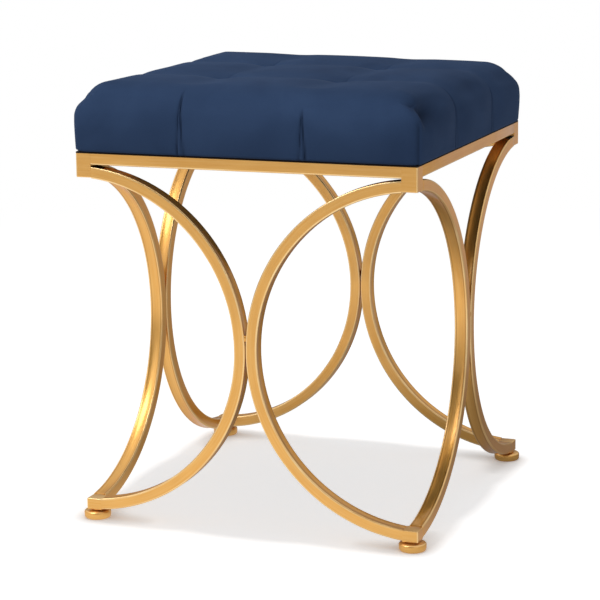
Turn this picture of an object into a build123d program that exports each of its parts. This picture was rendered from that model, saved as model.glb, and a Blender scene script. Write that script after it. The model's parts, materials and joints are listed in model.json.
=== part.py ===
from build123d import *
import math
import os

# Square ottoman: a tufted seat bolted to a welded frame of half-round tube arcs on screw-in glides.
# Millimetres, +Z up, origin on the floor under the middle of the seat. The front faces -Y.

# Frame tubes
frame_width = 376.0     # across the outer faces, the same both ways
tube_depth = 15.0       # rails and arcs, measured into the frame
rail_height = 14.0
arc_height = 12.5       # arc tube, measured along its radius
tube_wall = 1.2
rail_slit = 1.0         # rail underside to the arcs' crest, on the corner line
arc_gap = 0.4           # hairline between two arcs that stand back to back
corner_lip = 2.0        # how far a corner post or block reaches inside the tubes

# Weld bead between two arcs
bead_rise = 14.0        # above the arcs' nearest point
bead_height = 5.0
bead_depth = 6.0
bead_clearance = 0.05

# Corner gussets and seat bolts
gusset_reach = 74.0     # along each rail, from the frame's outer corner
gusset_thickness = 3.0
gusset_relief = 4.0     # cut corner past the post
bolt_inset = 38.0       # from the frame's outer faces
bolt_diameter = 6.0
bolt_head_across = 10.0
bolt_head_height = 4.0
bolt_tip_margin = 2.0   # bolt end below the board's top
washer_diameter = 14.0
washer_thickness = 1.6
hole_clearance = 0.3    # radial, where a bolt passes a plate or cloth
thread_clearance = 0.05  # radial, a thread in its nut or block
nut_barrel_wall = 1.2
nut_flange_diameter = 19.0
nut_flange_thickness = 1.5
nut_lift = 4.0          # nut barrel's end above the board's underside

# Levelling glides
glide_diameter = 29.0
glide_foot_diameter = 25.0
glide_height = 8.4
glide_rim_height = 3.6  # where the disc is widest
glide_bevel = 1.4
neck_diameter = 10.0
neck_height = 1.5
neck_gap = 0.1          # neck to the block's underside, screwed home
stud_diameter = 6.0
stud_sink = 5.0         # stud held in the disc
stud_tip_gap = 1.0
block_roof = 2.0        # metal left above the block's blind thread

# Seat
seat_overhang = 3.5
cushion_height = 72.4   # rail top to the crown of the puffs
side_height = 36.0      # upright sides, from the rail top
shoulder_width = 34.0
shoulder_ear = 2.0
seat_corner_radius = 10.0
seam_offset = 67.0      # seams from the seat's middle
tuft_depth = 5.5
side_lean = 0.4         # sides draw in this much above the board, and more at the pleats
pleat_depth = 1.0       # folds in the cover's outside, less than its thickness
pleat_width = 5.0
crease_sag = 0.4        # least rise of a puff between seams
edge_tuck = 3.0         # rounding where the cover turns under
cover_thickness = 1.5
hem_width = 28.0
foam_clearance = 0.3
foam_edge = 1.0
board_thickness = 15.0
board_clearance = 0.3
board_corner_radius = 16.0
wall_margin = 4.0       # cover stays upright this far above the board
dust_thickness = 0.8
dust_clearance = 0.5

# Staples under the seat
staple_crown = 10.0
staple_wire = 0.8
staple_leg = 8.0
staple_pitch = 30.0

# Places worked out from the sizes above
half = frame_width / 2
post_side = tube_depth + corner_lip
arc_outer = half - arc_gap / 2
arc_inner = arc_outer - arc_height
block_bottom = glide_height + neck_height + neck_gap
arc_middle = block_bottom + arc_outer
arc_top = arc_middle + arc_outer
rail_bottom = arc_top + rail_slit
rail_top = rail_bottom + rail_height
post_bottom = arc_middle + arc_inner
run_half = half - post_side
rail_inside = half - tube_depth
corner_axis = half - post_side / 2

seat_half = half + seat_overhang
board_bottom = rail_top + cover_thickness
board_top = board_bottom + board_thickness
board_half = seat_half - cover_thickness - board_clearance
crown = rail_top + cushion_height
side_top = rail_top + side_height
wall_top = board_top + wall_margin
hem_inside = seat_half - hem_width
dust_half = rail_inside - dust_clearance
dust_bottom = rail_top - dust_thickness
staple_line = (dust_half + hem_inside) / 2
gusset_top = dust_bottom
gusset_bottom = gusset_top - gusset_thickness
bolt_axis = half - bolt_inset
bolt_radius = bolt_diameter / 2
bolt_hole_radius = bolt_radius + hole_clearance
nut_radius = bolt_radius + thread_clearance + nut_barrel_wall
stud_radius = stud_diameter / 2

# Side name to its outward normal and the way along it, seen from outside with +Z up
SIDES = {
    "front": (Vector(0, -1, 0), Vector(1, 0, 0)),
    "right": (Vector(1, 0, 0), Vector(0, 1, 0)),
    "back": (Vector(0, 1, 0), Vector(-1, 0, 0)),
    "left": (Vector(-1, 0, 0), Vector(0, -1, 0)),
}
CORNERS = {
    "front_left": (-1, -1),
    "front_right": (1, -1),
    "back_right": (1, 1),
    "back_left": (-1, 1),
}
# The corner at the start and at the end of each side
SIDE_ENDS = {
    "front": ("left", "right"),
    "right": ("front", "back"),
    "back": ("right", "left"),
    "left": ("back", "front"),
}

os.makedirs("parts", exist_ok=True)


def save(part, name):
    """Label a finished piece and write it to its own file."""
    part.label = name
    export_step(part, f"parts/{name}.step")


def face_plane(side, height):
    """Plane on a side's outer face: x along the side, y up, z outwards."""
    outward, along = SIDES[side]
    return Plane(origin=outward * half + Vector(0, 0, height), x_dir=along, z_dir=outward)


# Rails: rectangular tubes butted between the corner posts
for side in SIDES:
    with BuildPart() as rail:
        with BuildSketch(face_plane(side, rail_bottom)):
            with Locations((0, rail_height / 2)):
                Rectangle(2 * run_half, rail_height)
        extrude(amount=-tube_depth)
        with BuildSketch(face_plane(side, rail_bottom).offset(-tube_wall)):
            with Locations((0, rail_height / 2)):
                Rectangle(2 * run_half, rail_height - 2 * tube_wall)
        extrude(amount=2 * tube_wall - tube_depth, mode=Mode.SUBTRACT)
    save(rail.part, f"rail_{side}")

# Arcs: half rounds of rectangular tube whose centre is on the corner line, cut off square at post and block
for side, ends in SIDE_ENDS.items():
    for end, name in zip((-1, 1), ends):
        with BuildPart() as arc:
            with BuildSketch(face_plane(side, arc_middle)):
                with Locations((end * half, 0)):
                    Circle(arc_outer)
                    Circle(arc_inner, mode=Mode.SUBTRACT)
                Rectangle(2 * run_half, 2 * half, mode=Mode.INTERSECT)
            extrude(amount=-tube_depth)
            with BuildSketch(face_plane(side, arc_middle).offset(-tube_wall)):
                with Locations((end * half, 0)):
                    Circle(arc_outer - tube_wall)
                    Circle(arc_inner + tube_wall, mode=Mode.SUBTRACT)
                Rectangle(2 * run_half, 2 * half, mode=Mode.INTERSECT)
            extrude(amount=2 * tube_wall - tube_depth, mode=Mode.SUBTRACT)
        save(arc.part, f"arc_{side}_{name}")

# Weld beads: the groove between two arcs, filled flush with their faces
for side in SIDES:
    with BuildPart() as bead:
        with BuildSketch(face_plane(side, arc_middle)):
            with Locations((0, bead_rise)):
                Rectangle(2 * bead_height, bead_height)
            with Locations((-half, 0), (half, 0)):
                Circle(arc_outer + bead_clearance, mode=Mode.SUBTRACT)
        extrude(amount=-bead_depth)
    save(bead.part, f"weld_bead_{side}")

# Corner posts, lower blocks, gussets and glides
for corner, (sx, sy) in CORNERS.items():
    axis = (sx * corner_axis, sy * corner_axis)

    with BuildPart() as post:
        with BuildSketch(Plane.XY.offset(post_bottom)):
            with Locations(axis):
                Rectangle(post_side, post_side)
        extrude(amount=rail_top - post_bottom)
    save(post.part, f"corner_post_{corner}")

    with BuildPart() as block:
        with BuildSketch(Plane.XY.offset(block_bottom)):
            with Locations(axis):
                Rectangle(post_side, post_side)
        extrude(amount=arc_height)
        with BuildSketch(Plane.XY.offset(block_bottom)):
            with Locations(axis):
                Circle(stud_radius + thread_clearance)
        extrude(amount=arc_height - block_roof, mode=Mode.SUBTRACT)
    save(block.part, f"foot_block_{corner}")

    # Flat plate across the inside of the corner, its own corner cut off clear of the post
    cut = max(2 * post_side - tube_depth, tube_depth) + gusset_relief
    with BuildPart() as gusset:
        with BuildSketch(Plane.XY.offset(gusset_bottom)):
            with BuildLine():
                Polyline(
                    (sx * (half - cut), sy * rail_inside),
                    (sx * (half - gusset_reach), sy * rail_inside),
                    (sx * rail_inside, sy * (half - gusset_reach)),
                    (sx * rail_inside, sy * (half - cut)),
                    close=True,
                )
            make_face()
            with Locations((sx * bolt_axis, sy * bolt_axis)):
                Circle(bolt_hole_radius, mode=Mode.SUBTRACT)
        extrude(amount=gusset_thickness)
    save(gusset.part, f"gusset_{corner}")

    # Disc with a foot turned in two steps, a bevelled top and a neck that seats on the block
    rim = glide_diameter / 2
    foot = glide_foot_diameter / 2
    neck = neck_diameter / 2
    bevel_low = glide_height - glide_bevel
    step = math.sqrt(0.5)
    with BuildPart() as glide:
        with BuildSketch(Plane.XZ.offset(-axis[1])):
            with BuildLine():
                Polyline(
                    (axis[0], 0),
                    (axis[0] + foot, 0),
                    (axis[0] + foot + (rim - foot) * step, glide_rim_height * (1 - step)),
                    (axis[0] + rim, glide_rim_height),
                    (axis[0] + rim, bevel_low),
                    (axis[0] + rim - glide_bevel, glide_height),
                    (axis[0] + neck, glide_height),
                    (axis[0] + neck, glide_height + neck_height),
                    (axis[0], glide_height + neck_height),
                    close=True,
                )
            make_face()
        revolve(axis=Axis((*axis, 0), (0, 0, 1)))
        with BuildSketch(Plane.XY.offset(glide_height + neck_height)):
            with Locations(axis):
                Circle(stud_radius + thread_clearance)
        extrude(amount=-stud_sink, mode=Mode.SUBTRACT)
    save(glide.part, f"glide_base_{corner}")

    stud_bottom = glide_height + neck_height - stud_sink
    stud_top = block_bottom + arc_height - block_roof - stud_tip_gap
    with BuildPart() as stud:
        with BuildSketch(Plane.XY.offset(stud_bottom)):
            with Locations(axis):
                Circle(stud_radius)
        extrude(amount=stud_top - stud_bottom)
    save(stud.part, f"glide_stud_{corner}")


def corner_cut(distance, radius):
    """How far a quarter round of this radius stands back, at a distance in from its edge."""
    if distance >= radius:
        return 0.0
    return radius - math.sqrt(radius**2 - (radius - distance) ** 2)


def cushion_section(y, inset, floor, tuck):
    """Cross section of the seat at y: flat bottom, upright walls, round shoulders and three puffs on top."""
    form_half = seat_half - inset
    edge = form_half - abs(y)
    on_seam = math.isclose(abs(y), seam_offset)
    base = form_half - corner_cut(edge, seat_corner_radius)
    upper = base - (pleat_depth if on_seam else side_lean)
    low = floor + corner_cut(edge, tuck)
    ear_low = side_top - inset - shoulder_ear

    # The front and back shoulders are quarter ellipses, and so are the ones at the sides
    swell = math.sqrt(1 - (1 - min(edge / shoulder_width, 1.0)) ** 2)
    top = side_top - inset + (crown - side_top) * swell - (tuft_depth if on_seam else 0.0)
    reach = shoulder_ear + (shoulder_width - shoulder_ear) * swell
    dip = crease_sag + tuft_depth * swell
    diagonal = math.sqrt(0.5)
    brow = upper - reach
    brow_height = top - dip / 2
    crease_height = top - dip
    puff_middle = (brow + seam_offset) / 2

    with BuildSketch(Plane.XZ.offset(-y)) as section:
        with BuildLine():
            Line((tuck - base, low), (base - tuck, low))
            for s in (1, -1):
                ThreePointArc(
                    (s * (base - tuck), low),
                    (s * (base - tuck * (1 - diagonal)), low + tuck * (1 - diagonal)),
                    (s * base, low + tuck),
                )
                Line((s * base, low + tuck), (s * base, wall_top))
                Line((s * base, wall_top), (s * upper, ear_low))
                ThreePointArc(
                    (s * upper, ear_low),
                    (s * (upper - reach * (1 - diagonal)), ear_low + (brow_height - ear_low) * diagonal),
                    (s * brow, brow_height),
                )
                ThreePointArc((s * brow, brow_height), (s * puff_middle, top), (s * seam_offset, crease_height))
            ThreePointArc((seam_offset, crease_height), (0, top), (-seam_offset, crease_height))
        make_face()
    return section.sketch


def cushion(inset, floor, tuck, ruled):
    """Seat form, taken in by an inset: three rows of puffs lofted front to back, ruled where nobody sees them."""
    form_half = seat_half - inset
    # Stations across the front shoulder are spaced evenly round its quarter ellipse
    brow = shoulder_width - form_half
    shoulder = [brow - shoulder_width * math.cos(math.radians(turn)) for turn in (0, 30, 60, 90)]
    puff = [brow, (brow - seam_offset) / 2, -seam_offset]
    middle = [-seam_offset, 0.0, seam_offset]
    rows = [shoulder, puff, middle, [-y for y in reversed(puff)], [-y for y in reversed(shoulder)]]
    with BuildPart() as form:
        for row in rows:
            loft([cushion_section(y, inset, floor, tuck) for y in row], ruled=ruled)
        split(bisect_by=Plane.XY.offset(floor), keep=Keep.TOP)
    return form.part


# Seat cover: the tufted form with pleats down its front and back, hollow, turned under the board as a hem
with BuildPart() as seat_cover:
    add(cushion(0.0, rail_top, edge_tuck, ruled=False))
    with BuildSketch(Plane.XY.offset(wall_top)):
        for sx, sy in CORNERS.values():
            with BuildLine():
                Polyline(
                    (sx * seam_offset - pleat_width / 2, sy * seat_half),
                    (sx * seam_offset + pleat_width / 2, sy * seat_half),
                    (sx * seam_offset, sy * (seat_half - pleat_depth)),
                    close=True,
                )
            make_face()
    extrude(amount=crown - wall_top, mode=Mode.SUBTRACT)
    add(cushion(cover_thickness, board_bottom, edge_tuck - cover_thickness, ruled=True), mode=Mode.SUBTRACT)
    with BuildSketch(Plane.XY.offset(board_bottom)):
        RectangleRounded(2 * board_half, 2 * board_half, board_corner_radius)
    extrude(amount=board_thickness, mode=Mode.SUBTRACT)
    with BuildSketch(Plane.XY.offset(rail_top)):
        Rectangle(2 * hem_inside, 2 * hem_inside)
    extrude(amount=cover_thickness, mode=Mode.SUBTRACT)
save(seat_cover.part, "seat_cover")

# Foam: the same form inside the cover, on the board
with BuildPart() as foam_pad:
    add(cushion(cover_thickness + foam_clearance, board_top, foam_edge, ruled=True))
save(foam_pad.part, "foam_pad")

bolt_places = [(sx * bolt_axis, sy * bolt_axis) for sx, sy in CORNERS.values()]

# Plywood board with eased edges, and a stepped hole for each tee nut
with BuildPart() as seat_board:
    with BuildSketch(Plane.XY.offset(board_bottom)):
        RectangleRounded(2 * board_half, 2 * board_half, board_corner_radius)
    extrude(amount=board_thickness)
    chamfer(seat_board.edges().group_by(Axis.Z)[0], edge_tuck)
    with BuildSketch(Plane.XY.offset(board_bottom)):
        with Locations(*bolt_places):
            Circle(nut_radius)
    extrude(amount=board_thickness, mode=Mode.SUBTRACT)
    with BuildSketch(Plane.XY.offset(board_top)):
        with Locations(*bolt_places):
            Circle(nut_flange_diameter / 2)
    extrude(amount=-nut_flange_thickness, mode=Mode.SUBTRACT)
save(seat_board.part, "seat_board")

# Dust cover under the board, inside the rails, its corners cut off clear of the posts
with BuildPart() as dust_cover:
    with BuildSketch(Plane.XY.offset(dust_bottom)) as dust_sheet:
        Rectangle(2 * dust_half, 2 * dust_half)
        chamfer(dust_sheet.vertices(), 2 * (dust_half - run_half + dust_clearance))
        with Locations(*bolt_places):
            Circle(bolt_hole_radius, mode=Mode.SUBTRACT)
    extrude(amount=dust_thickness)
save(dust_cover.part, "dust_cover")

# Tee nuts: a flange let into the board's top and a barrel down through it
with BuildPart() as tee_nuts:
    with BuildSketch(Plane.XY.offset(board_top)):
        with Locations(*bolt_places):
            Circle(nut_flange_diameter / 2)
    extrude(amount=-nut_flange_thickness)
    with BuildSketch(Plane.XY.offset(board_bottom + nut_lift)):
        with Locations(*bolt_places):
            Circle(nut_radius)
    extrude(amount=board_thickness - nut_lift)
    with BuildSketch(Plane.XY.offset(board_bottom)):
        with Locations(*bolt_places):
            Circle(bolt_radius + thread_clearance)
    extrude(amount=board_thickness, mode=Mode.SUBTRACT)
save(tee_nuts.part, "tee_nuts")

# Washers and hexagon bolts, up through the gussets into the tee nuts
head_top = gusset_bottom - washer_thickness
with BuildPart() as washers:
    with BuildSketch(Plane.XY.offset(head_top)):
        with Locations(*bolt_places):
            Circle(washer_diameter / 2)
            Circle(bolt_hole_radius, mode=Mode.SUBTRACT)
    extrude(amount=washer_thickness)
save(washers.part, "bolt_washers")

with BuildPart() as bolts:
    with BuildSketch(Plane.XY.offset(head_top)):
        with Locations(*bolt_places):
            RegularPolygon(bolt_head_across / 2, 6, major_radius=False)
    extrude(amount=-bolt_head_height)
    with BuildSketch(Plane.XY.offset(head_top)):
        with Locations(*bolt_places):
            Circle(bolt_radius)
    extrude(amount=board_top - bolt_tip_margin - head_top)
save(bolts.part, "seat_bolts")

# Staples: wire bent over, driven up through dust cover and hem into the board
staple_run = half - gusset_reach - staple_crown
staple_count = 1 + int(2 * staple_run // staple_pitch)
with BuildPart() as staples:
    for outward, along in SIDES.values():
        row_plane = Plane(origin=outward * staple_line + Vector(0, 0, dust_bottom), x_dir=along, z_dir=outward)
        with BuildSketch(row_plane.offset(-staple_wire / 2)):
            with GridLocations(staple_pitch, 0, staple_count, 1):
                with Locations((0, -staple_wire / 2)):
                    Rectangle(staple_crown, staple_wire)
                for s in (1, -1):
                    with Locations((s * (staple_crown - staple_wire) / 2, staple_leg / 2)):
                        Rectangle(staple_wire, staple_leg)
        extrude(amount=staple_wire)
save(staples.part, "cover_staples")
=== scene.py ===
"""Looks of the square ottoman: tufted velvet seat, gold tube frame, screw glides, and a plain studio.

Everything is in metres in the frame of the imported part: +Z up, the front towards -Y, the floor at zero.
"""

import json
import logging
import math
from dataclasses import dataclass, field
from enum import Enum

import bpy
import numpy as np
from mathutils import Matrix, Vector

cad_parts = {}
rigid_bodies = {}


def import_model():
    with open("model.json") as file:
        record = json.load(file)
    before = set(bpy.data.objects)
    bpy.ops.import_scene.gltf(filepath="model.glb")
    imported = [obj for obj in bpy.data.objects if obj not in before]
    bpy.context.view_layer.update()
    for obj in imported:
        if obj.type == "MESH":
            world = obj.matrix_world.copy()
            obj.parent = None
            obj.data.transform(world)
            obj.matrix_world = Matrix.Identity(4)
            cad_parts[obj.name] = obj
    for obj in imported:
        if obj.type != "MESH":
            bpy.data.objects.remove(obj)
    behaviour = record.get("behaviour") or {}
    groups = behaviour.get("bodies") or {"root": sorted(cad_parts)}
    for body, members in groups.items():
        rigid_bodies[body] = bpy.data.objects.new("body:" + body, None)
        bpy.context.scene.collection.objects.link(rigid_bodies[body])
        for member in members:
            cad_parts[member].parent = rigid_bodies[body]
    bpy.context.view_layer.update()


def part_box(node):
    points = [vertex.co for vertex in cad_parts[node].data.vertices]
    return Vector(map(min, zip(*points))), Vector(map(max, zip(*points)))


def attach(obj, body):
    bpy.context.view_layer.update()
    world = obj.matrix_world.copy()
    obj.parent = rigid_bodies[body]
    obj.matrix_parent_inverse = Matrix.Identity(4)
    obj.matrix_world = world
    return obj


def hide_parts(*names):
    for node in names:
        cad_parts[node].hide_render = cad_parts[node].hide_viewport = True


MM = 0.001
IMAGE_SIZE = 600.0      # pixels, the picture is square
LOG = logging.getLogger("ottoman")
VELVET_CLOTH = {"quality": 6, "mass": 0.3, "tension_stiffness": 12, "compression_stiffness": 12, "shear_stiffness": 6,
                "bending_stiffness": 0.6, "use_pressure": True}
PATCHY = {"From Min": 0.3, "From Max": 0.7}     # where nearly all values of a noise lie
EASED = {"interpolation_type": "SMOOTHSTEP"}
Span = tuple[float, float]


class Side(Enum):
    """The four sides: outward normal, and the way along the side as seen from outside."""

    FRONT = ((0, -1), (1, 0))
    RIGHT = ((1, 0), (0, 1))
    BACK = ((0, 1), (-1, 0))
    LEFT = ((-1, 0), (0, -1))

    @property
    def label(self) -> str:
        """Name of the side as the CAD nodes spell it."""
        return self.name.lower()

    def place(self, along: np.ndarray, outward: np.ndarray, up: np.ndarray) -> np.ndarray:
        """Points from distances along the side, out from the middle of the part and up.

        Args:
            along: distance along the side from its middle.
            outward: distance out from the part's axis.
            up: height above the floor.

        Returns:
            Points with one more axis than the arguments.
        """
        (nx, ny), (ax, ay) = self.value
        rows = np.broadcast_arrays(along * ax + outward * nx, along * ay + outward * ny, up)
        return np.stack(rows, axis=-1)

    def neighbour(self, end: int) -> "Side":
        """The side that stands at the start (-1) or the end (1) of this one."""
        ax, ay = self.value[1]
        return next(s for s in Side if s.value[0] == (end * ax, end * ay))


class Corner(Enum):
    """The four corners, by the signs of x and y."""

    FRONT_LEFT = (-1, -1)
    FRONT_RIGHT = (1, -1)
    BACK_RIGHT = (1, 1)
    BACK_LEFT = (-1, 1)

    @property
    def label(self) -> str:
        """Name of the corner as the CAD nodes spell it."""
        return self.name.lower()


class Lay(Enum):
    """What a pattern follows: the piece's own straightened length, or the part's axes."""

    ALONG = "lay"
    AXES = "axes"


def linear(colour: str) -> tuple[float, ...]:
    """Linear RGBA of an sRGB hex colour.

    Args:
        colour: text such as "#D9A553".

    Returns:
        Red, green, blue and an alpha of one.
    """
    value = np.array([int(colour[i:i + 2], 16) for i in (1, 3, 5)]) / 255.0
    curve = np.where(value <= 0.04045, value / 12.92, ((value + 0.055) / 1.055) ** 2.4)
    return (*curve.tolist(), 1.0)


def add_node(tree: bpy.types.NodeTree, kind: str, settings: dict | None = None) -> bpy.types.Node:
    """Adds a node with its settings and links.

    Args:
        tree: the node tree that takes it.
        kind: the node's type name, without the leading ShaderNode.
        settings: attribute names, or input names or numbers, each with its value or with the socket or node that
            feeds it. A node feeds by its first output in use.

    Returns:
        The new node.
    """
    node = tree.nodes.new("ShaderNode" + kind)
    for key, value in (settings or {}).items():
        if isinstance(value, bpy.types.Node):
            value = next(socket for socket in value.outputs if socket.enabled)
        if isinstance(value, bpy.types.NodeSocket):
            tree.links.new(value, node.inputs[key])
        elif isinstance(key, str) and hasattr(node, key):
            setattr(node, key, value)
        else:
            node.inputs[key].default_value = value
    return node


def new_tree(name: str) -> tuple[bpy.types.Material, bpy.types.NodeTree]:
    """An empty node material and its tree."""
    material = bpy.data.materials.new(name)
    material.use_nodes = True
    material.node_tree.nodes.clear()
    return material, material.node_tree


def pattern_vector(tree: bpy.types.NodeTree, lay: Lay, period: tuple[float, float, float]) -> bpy.types.Node:
    """Pattern coordinates in which one unit is one period.

    Args:
        tree: the material's tree.
        lay: what the pattern follows.
        period: length of one repeat along each axis, in metres.

    Returns:
        The node to plug into a texture.
    """
    if lay is Lay.ALONG:
        source = add_node(tree, "Attribute", {"attribute_name": lay.value}).outputs["Vector"]
    else:
        source = add_node(tree, "TexCoord").outputs["Object"]
    return add_node(tree, "Mapping", {"Scale": tuple(1.0 / p for p in period), "Vector": source})


@dataclass(frozen=True)
class GoldPaint:
    """Gold-tone metallic paint, sprayed on welded steel tube, with scuffed edges.

    Flake in the paint reflects like a soft gold, with faint streaks along the tube, a slight orange peel, a paler
    colour on the edges that is both scuffing and a painted highlight, and a darker colour beside the edges of bent
    walls that is painted shade, all under clear lacquer.
    """

    lay: Lay
    body: str = "#D89D49"
    pale: str = "#E0AC5E"
    # edge colours: a paler one that is both scuffing and a painted highlight, and a darker one that is painted shade
    rubbed: str = "#F4D59C"
    pooled: str = "#8C5B22"
    glancing: str = "#DFAC62"         # tint at glancing angles, where a plain metal would go white
    flake: float = 0.86               # share of the paint that reflects like metal
    roughness: float = 0.33
    lacquer: float = 0.6
    lacquer_roughness: float = 0.16
    streak_length: float = 60 * MM
    streak_width: float = 1.6 * MM   # drawn coarser than real streaks, so that they show
    streak_depth: float = 0.06 * MM
    cloud_size: float = 35 * MM
    peel_size: float = 1.2 * MM      # orange peel, drawn coarser than the real one
    peel_depth: float = 0.05 * MM
    pool_share: float = 0.6

    def material(self) -> bpy.types.Material:
        """Builds the paint."""
        material, tree = new_tree("gold_paint_" + self.lay.value)
        across = self.streak_width
        streaks = add_node(tree, "TexNoise", {
            "Scale": 1.0, "Detail": 3.0, "Roughness": 0.6,
            "Vector": pattern_vector(tree, self.lay, (self.streak_length, across, across))})
        clouds = add_node(tree, "TexNoise", {
            "Scale": 1.0, "Detail": 2.0, "Vector": pattern_vector(tree, Lay.AXES, (self.cloud_size,) * 3)})
        peel = add_node(tree, "TexNoise", {
            "Scale": 1.0, "Detail": 2.0, "Vector": pattern_vector(tree, Lay.AXES, (self.peel_size,) * 3)})
        tone = add_node(tree, "MapRange", {**PATCHY, "Value": streaks})
        colour = add_node(tree, "Mix", {"data_type": "RGBA", 0: tone, 6: linear(self.body), 7: linear(self.pale)})
        if self.lay is Lay.ALONG:
            # edges: scuffing that doubles as a painted highlight, and painted shade beside the edges of bent walls
            edge = add_node(tree, "Attribute", {"attribute_name": "edge"}).outputs["Fac"]
            rub = add_node(tree, "MapRange", {**PATCHY, "To Min": 0.3, "To Max": 0.9, "Value": clouds})
            wear_and_highlight_share = add_node(tree, "Math", {"operation": "MULTIPLY", "use_clamp": True, 0: edge, 1: rub})
            with_wear_and_highlight = add_node(tree, "Mix", {"data_type": "RGBA", 0: wear_and_highlight_share, 6: colour, 7: linear(self.rubbed)})
            edge_shade_share = add_node(tree, "Math", {"operation": "MULTIPLY", "use_clamp": True, 0: edge, 1: -self.pool_share})
            colour = add_node(tree, "Mix", {"data_type": "RGBA", 0: edge_shade_share, 6: with_wear_and_highlight, 7: linear(self.pooled)})
        gloss = add_node(tree, "MapRange", {
            **PATCHY, "To Min": self.roughness - 0.05, "To Max": self.roughness + 0.07, "Value": clouds})
        fine = add_node(tree, "Bump", {"Strength": 0.06, "Distance": self.peel_depth, "Height": peel})
        bump = add_node(tree, "Bump", {
            "Strength": 0.10, "Distance": self.streak_depth, "Height": streaks, "Normal": fine})
        shader = add_node(tree, "BsdfPrincipled", {
            "Base Color": colour, "Metallic": self.flake, "Specular Tint": linear(self.glancing), "Roughness": gloss,
            "Coat Weight": self.lacquer, "Coat Roughness": self.lacquer_roughness, "Normal": bump})
        add_node(tree, "OutputMaterial", {"Surface": shader})
        return material


@dataclass(frozen=True)
class BareSteel:
    """Painted shade on the gold frame, in the slits over the arcs' crests and on the rails' tops under the seat: dull
    brown-black.
    """

    # colours of the painted shade, mottled
    scale: str = "#120C07"
    rust: str = "#20140B"
    patch: float = 8 * MM

    def material(self) -> bpy.types.Material:
        """Builds the painted shade."""
        material, tree = new_tree("bare_steel")
        cloud = add_node(tree, "TexNoise", {
            "Scale": 1.0, "Detail": 3.0, "Vector": pattern_vector(tree, Lay.AXES, (self.patch,) * 3)})
        colour = add_node(tree, "Mix", {"data_type": "RGBA", 0: cloud, 6: linear(self.scale), 7: linear(self.rust)})
        shader = add_node(tree, "BsdfPrincipled", {
            "Base Color": colour, "Roughness": 0.75, "Specular IOR Level": 0.2})
        add_node(tree, "OutputMaterial", {"Surface": shader})
        return material


@dataclass(frozen=True)
class NavyVelvet:
    """Navy cut-pile velvet, woven, its pile laid with a brush.

    Upright pile drinks light face on and glows at the rim, with soft lighter patches where a hand has laid it over.
    Shade is painted into its colour from the tuck attribute: darker in tucks, pleats and folds, towards the hem of
    front and back, over the top's right border, and underneath.
    """

    deep: str = "#2A3C59"
    laid: str = "#344868"
    # colour of the painted shade
    crushed: str = "#111A2B"
    rim: str = "#6D86B4"
    nap_patch: float = 70 * MM
    nap_stretch: float = 1.6         # the patches are longer from front to back
    pile_spacing: float = 1.1 * MM   # drawn about three times coarser than real pile
    pile_depth: float = 0.25 * MM

    def material(self) -> bpy.types.Material:
        """Builds the velvet."""
        material, tree = new_tree("navy_velvet")
        patch = self.nap_patch
        nap = add_node(tree, "TexNoise", {
            "Scale": 1.0, "Detail": 2.0, "Roughness": 0.45, "Distortion": 0.6,
            "Vector": pattern_vector(tree, Lay.AXES, (patch, self.nap_stretch * patch, patch))})
        pile = add_node(tree, "TexNoise", {
            "Scale": 1.0, "Detail": 3.0, "Roughness": 0.7,
            "Vector": pattern_vector(tree, Lay.AXES, (self.pile_spacing,) * 3)})
        tone = add_node(tree, "MapRange", {"From Min": 0.25, "From Max": 0.75, "Value": nap})
        speck = add_node(tree, "MapRange", {**PATCHY, "To Min": -0.12, "To Max": 0.12, "Value": pile})
        both = add_node(tree, "Math", {"operation": "ADD", "use_clamp": True, 0: tone, 1: speck})
        colour = add_node(tree, "Mix", {"data_type": "RGBA", 0: both, 6: linear(self.deep), 7: linear(self.laid)})
        # the tuck attribute carries the painted shade
        tuck = add_node(tree, "Attribute", {"attribute_name": "tuck"}).outputs["Fac"]
        brushed = add_node(tree, "Mix", {"data_type": "RGBA", 0: tuck, 6: colour, 7: linear(self.crushed)})
        bump = add_node(tree, "Bump", {"Strength": 0.25, "Distance": self.pile_depth, "Height": pile})
        shader = add_node(tree, "BsdfPrincipled", {
            "Base Color": brushed, "Roughness": 0.9, "Specular IOR Level": 0.08, "Sheen Weight": 0.04,
            "Sheen Roughness": 0.4, "Sheen Tint": linear(self.rim), "Normal": bump})
        add_node(tree, "OutputMaterial", {"Surface": shader})
        return material


@dataclass(frozen=True)
class ZincPlate:
    """Bright zinc plating on steel fasteners: pale grey metal with a faint mottle from the bath."""

    bright: str = "#C9CBCC"
    dull: str = "#A9ABA8"
    roughness: float = 0.32
    mottle: float = 3 * MM

    def material(self) -> bpy.types.Material:
        """Builds the plating."""
        material, tree = new_tree("zinc_plated_steel")
        cloud = add_node(tree, "TexNoise", {
            "Scale": 1.0, "Detail": 4.0, "Roughness": 0.65,
            "Vector": pattern_vector(tree, Lay.AXES, (self.mottle,) * 3)})
        colour = add_node(tree, "Mix", {"data_type": "RGBA", 0: cloud, 6: linear(self.bright), 7: linear(self.dull)})
        gloss = add_node(tree, "MapRange", {
            "To Min": self.roughness - 0.08, "To Max": self.roughness + 0.12, "Value": cloud})
        shader = add_node(tree, "BsdfPrincipled", {"Base Color": colour, "Metallic": 1.0, "Roughness": gloss})
        add_node(tree, "OutputMaterial", {"Surface": shader})
        return material


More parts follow.
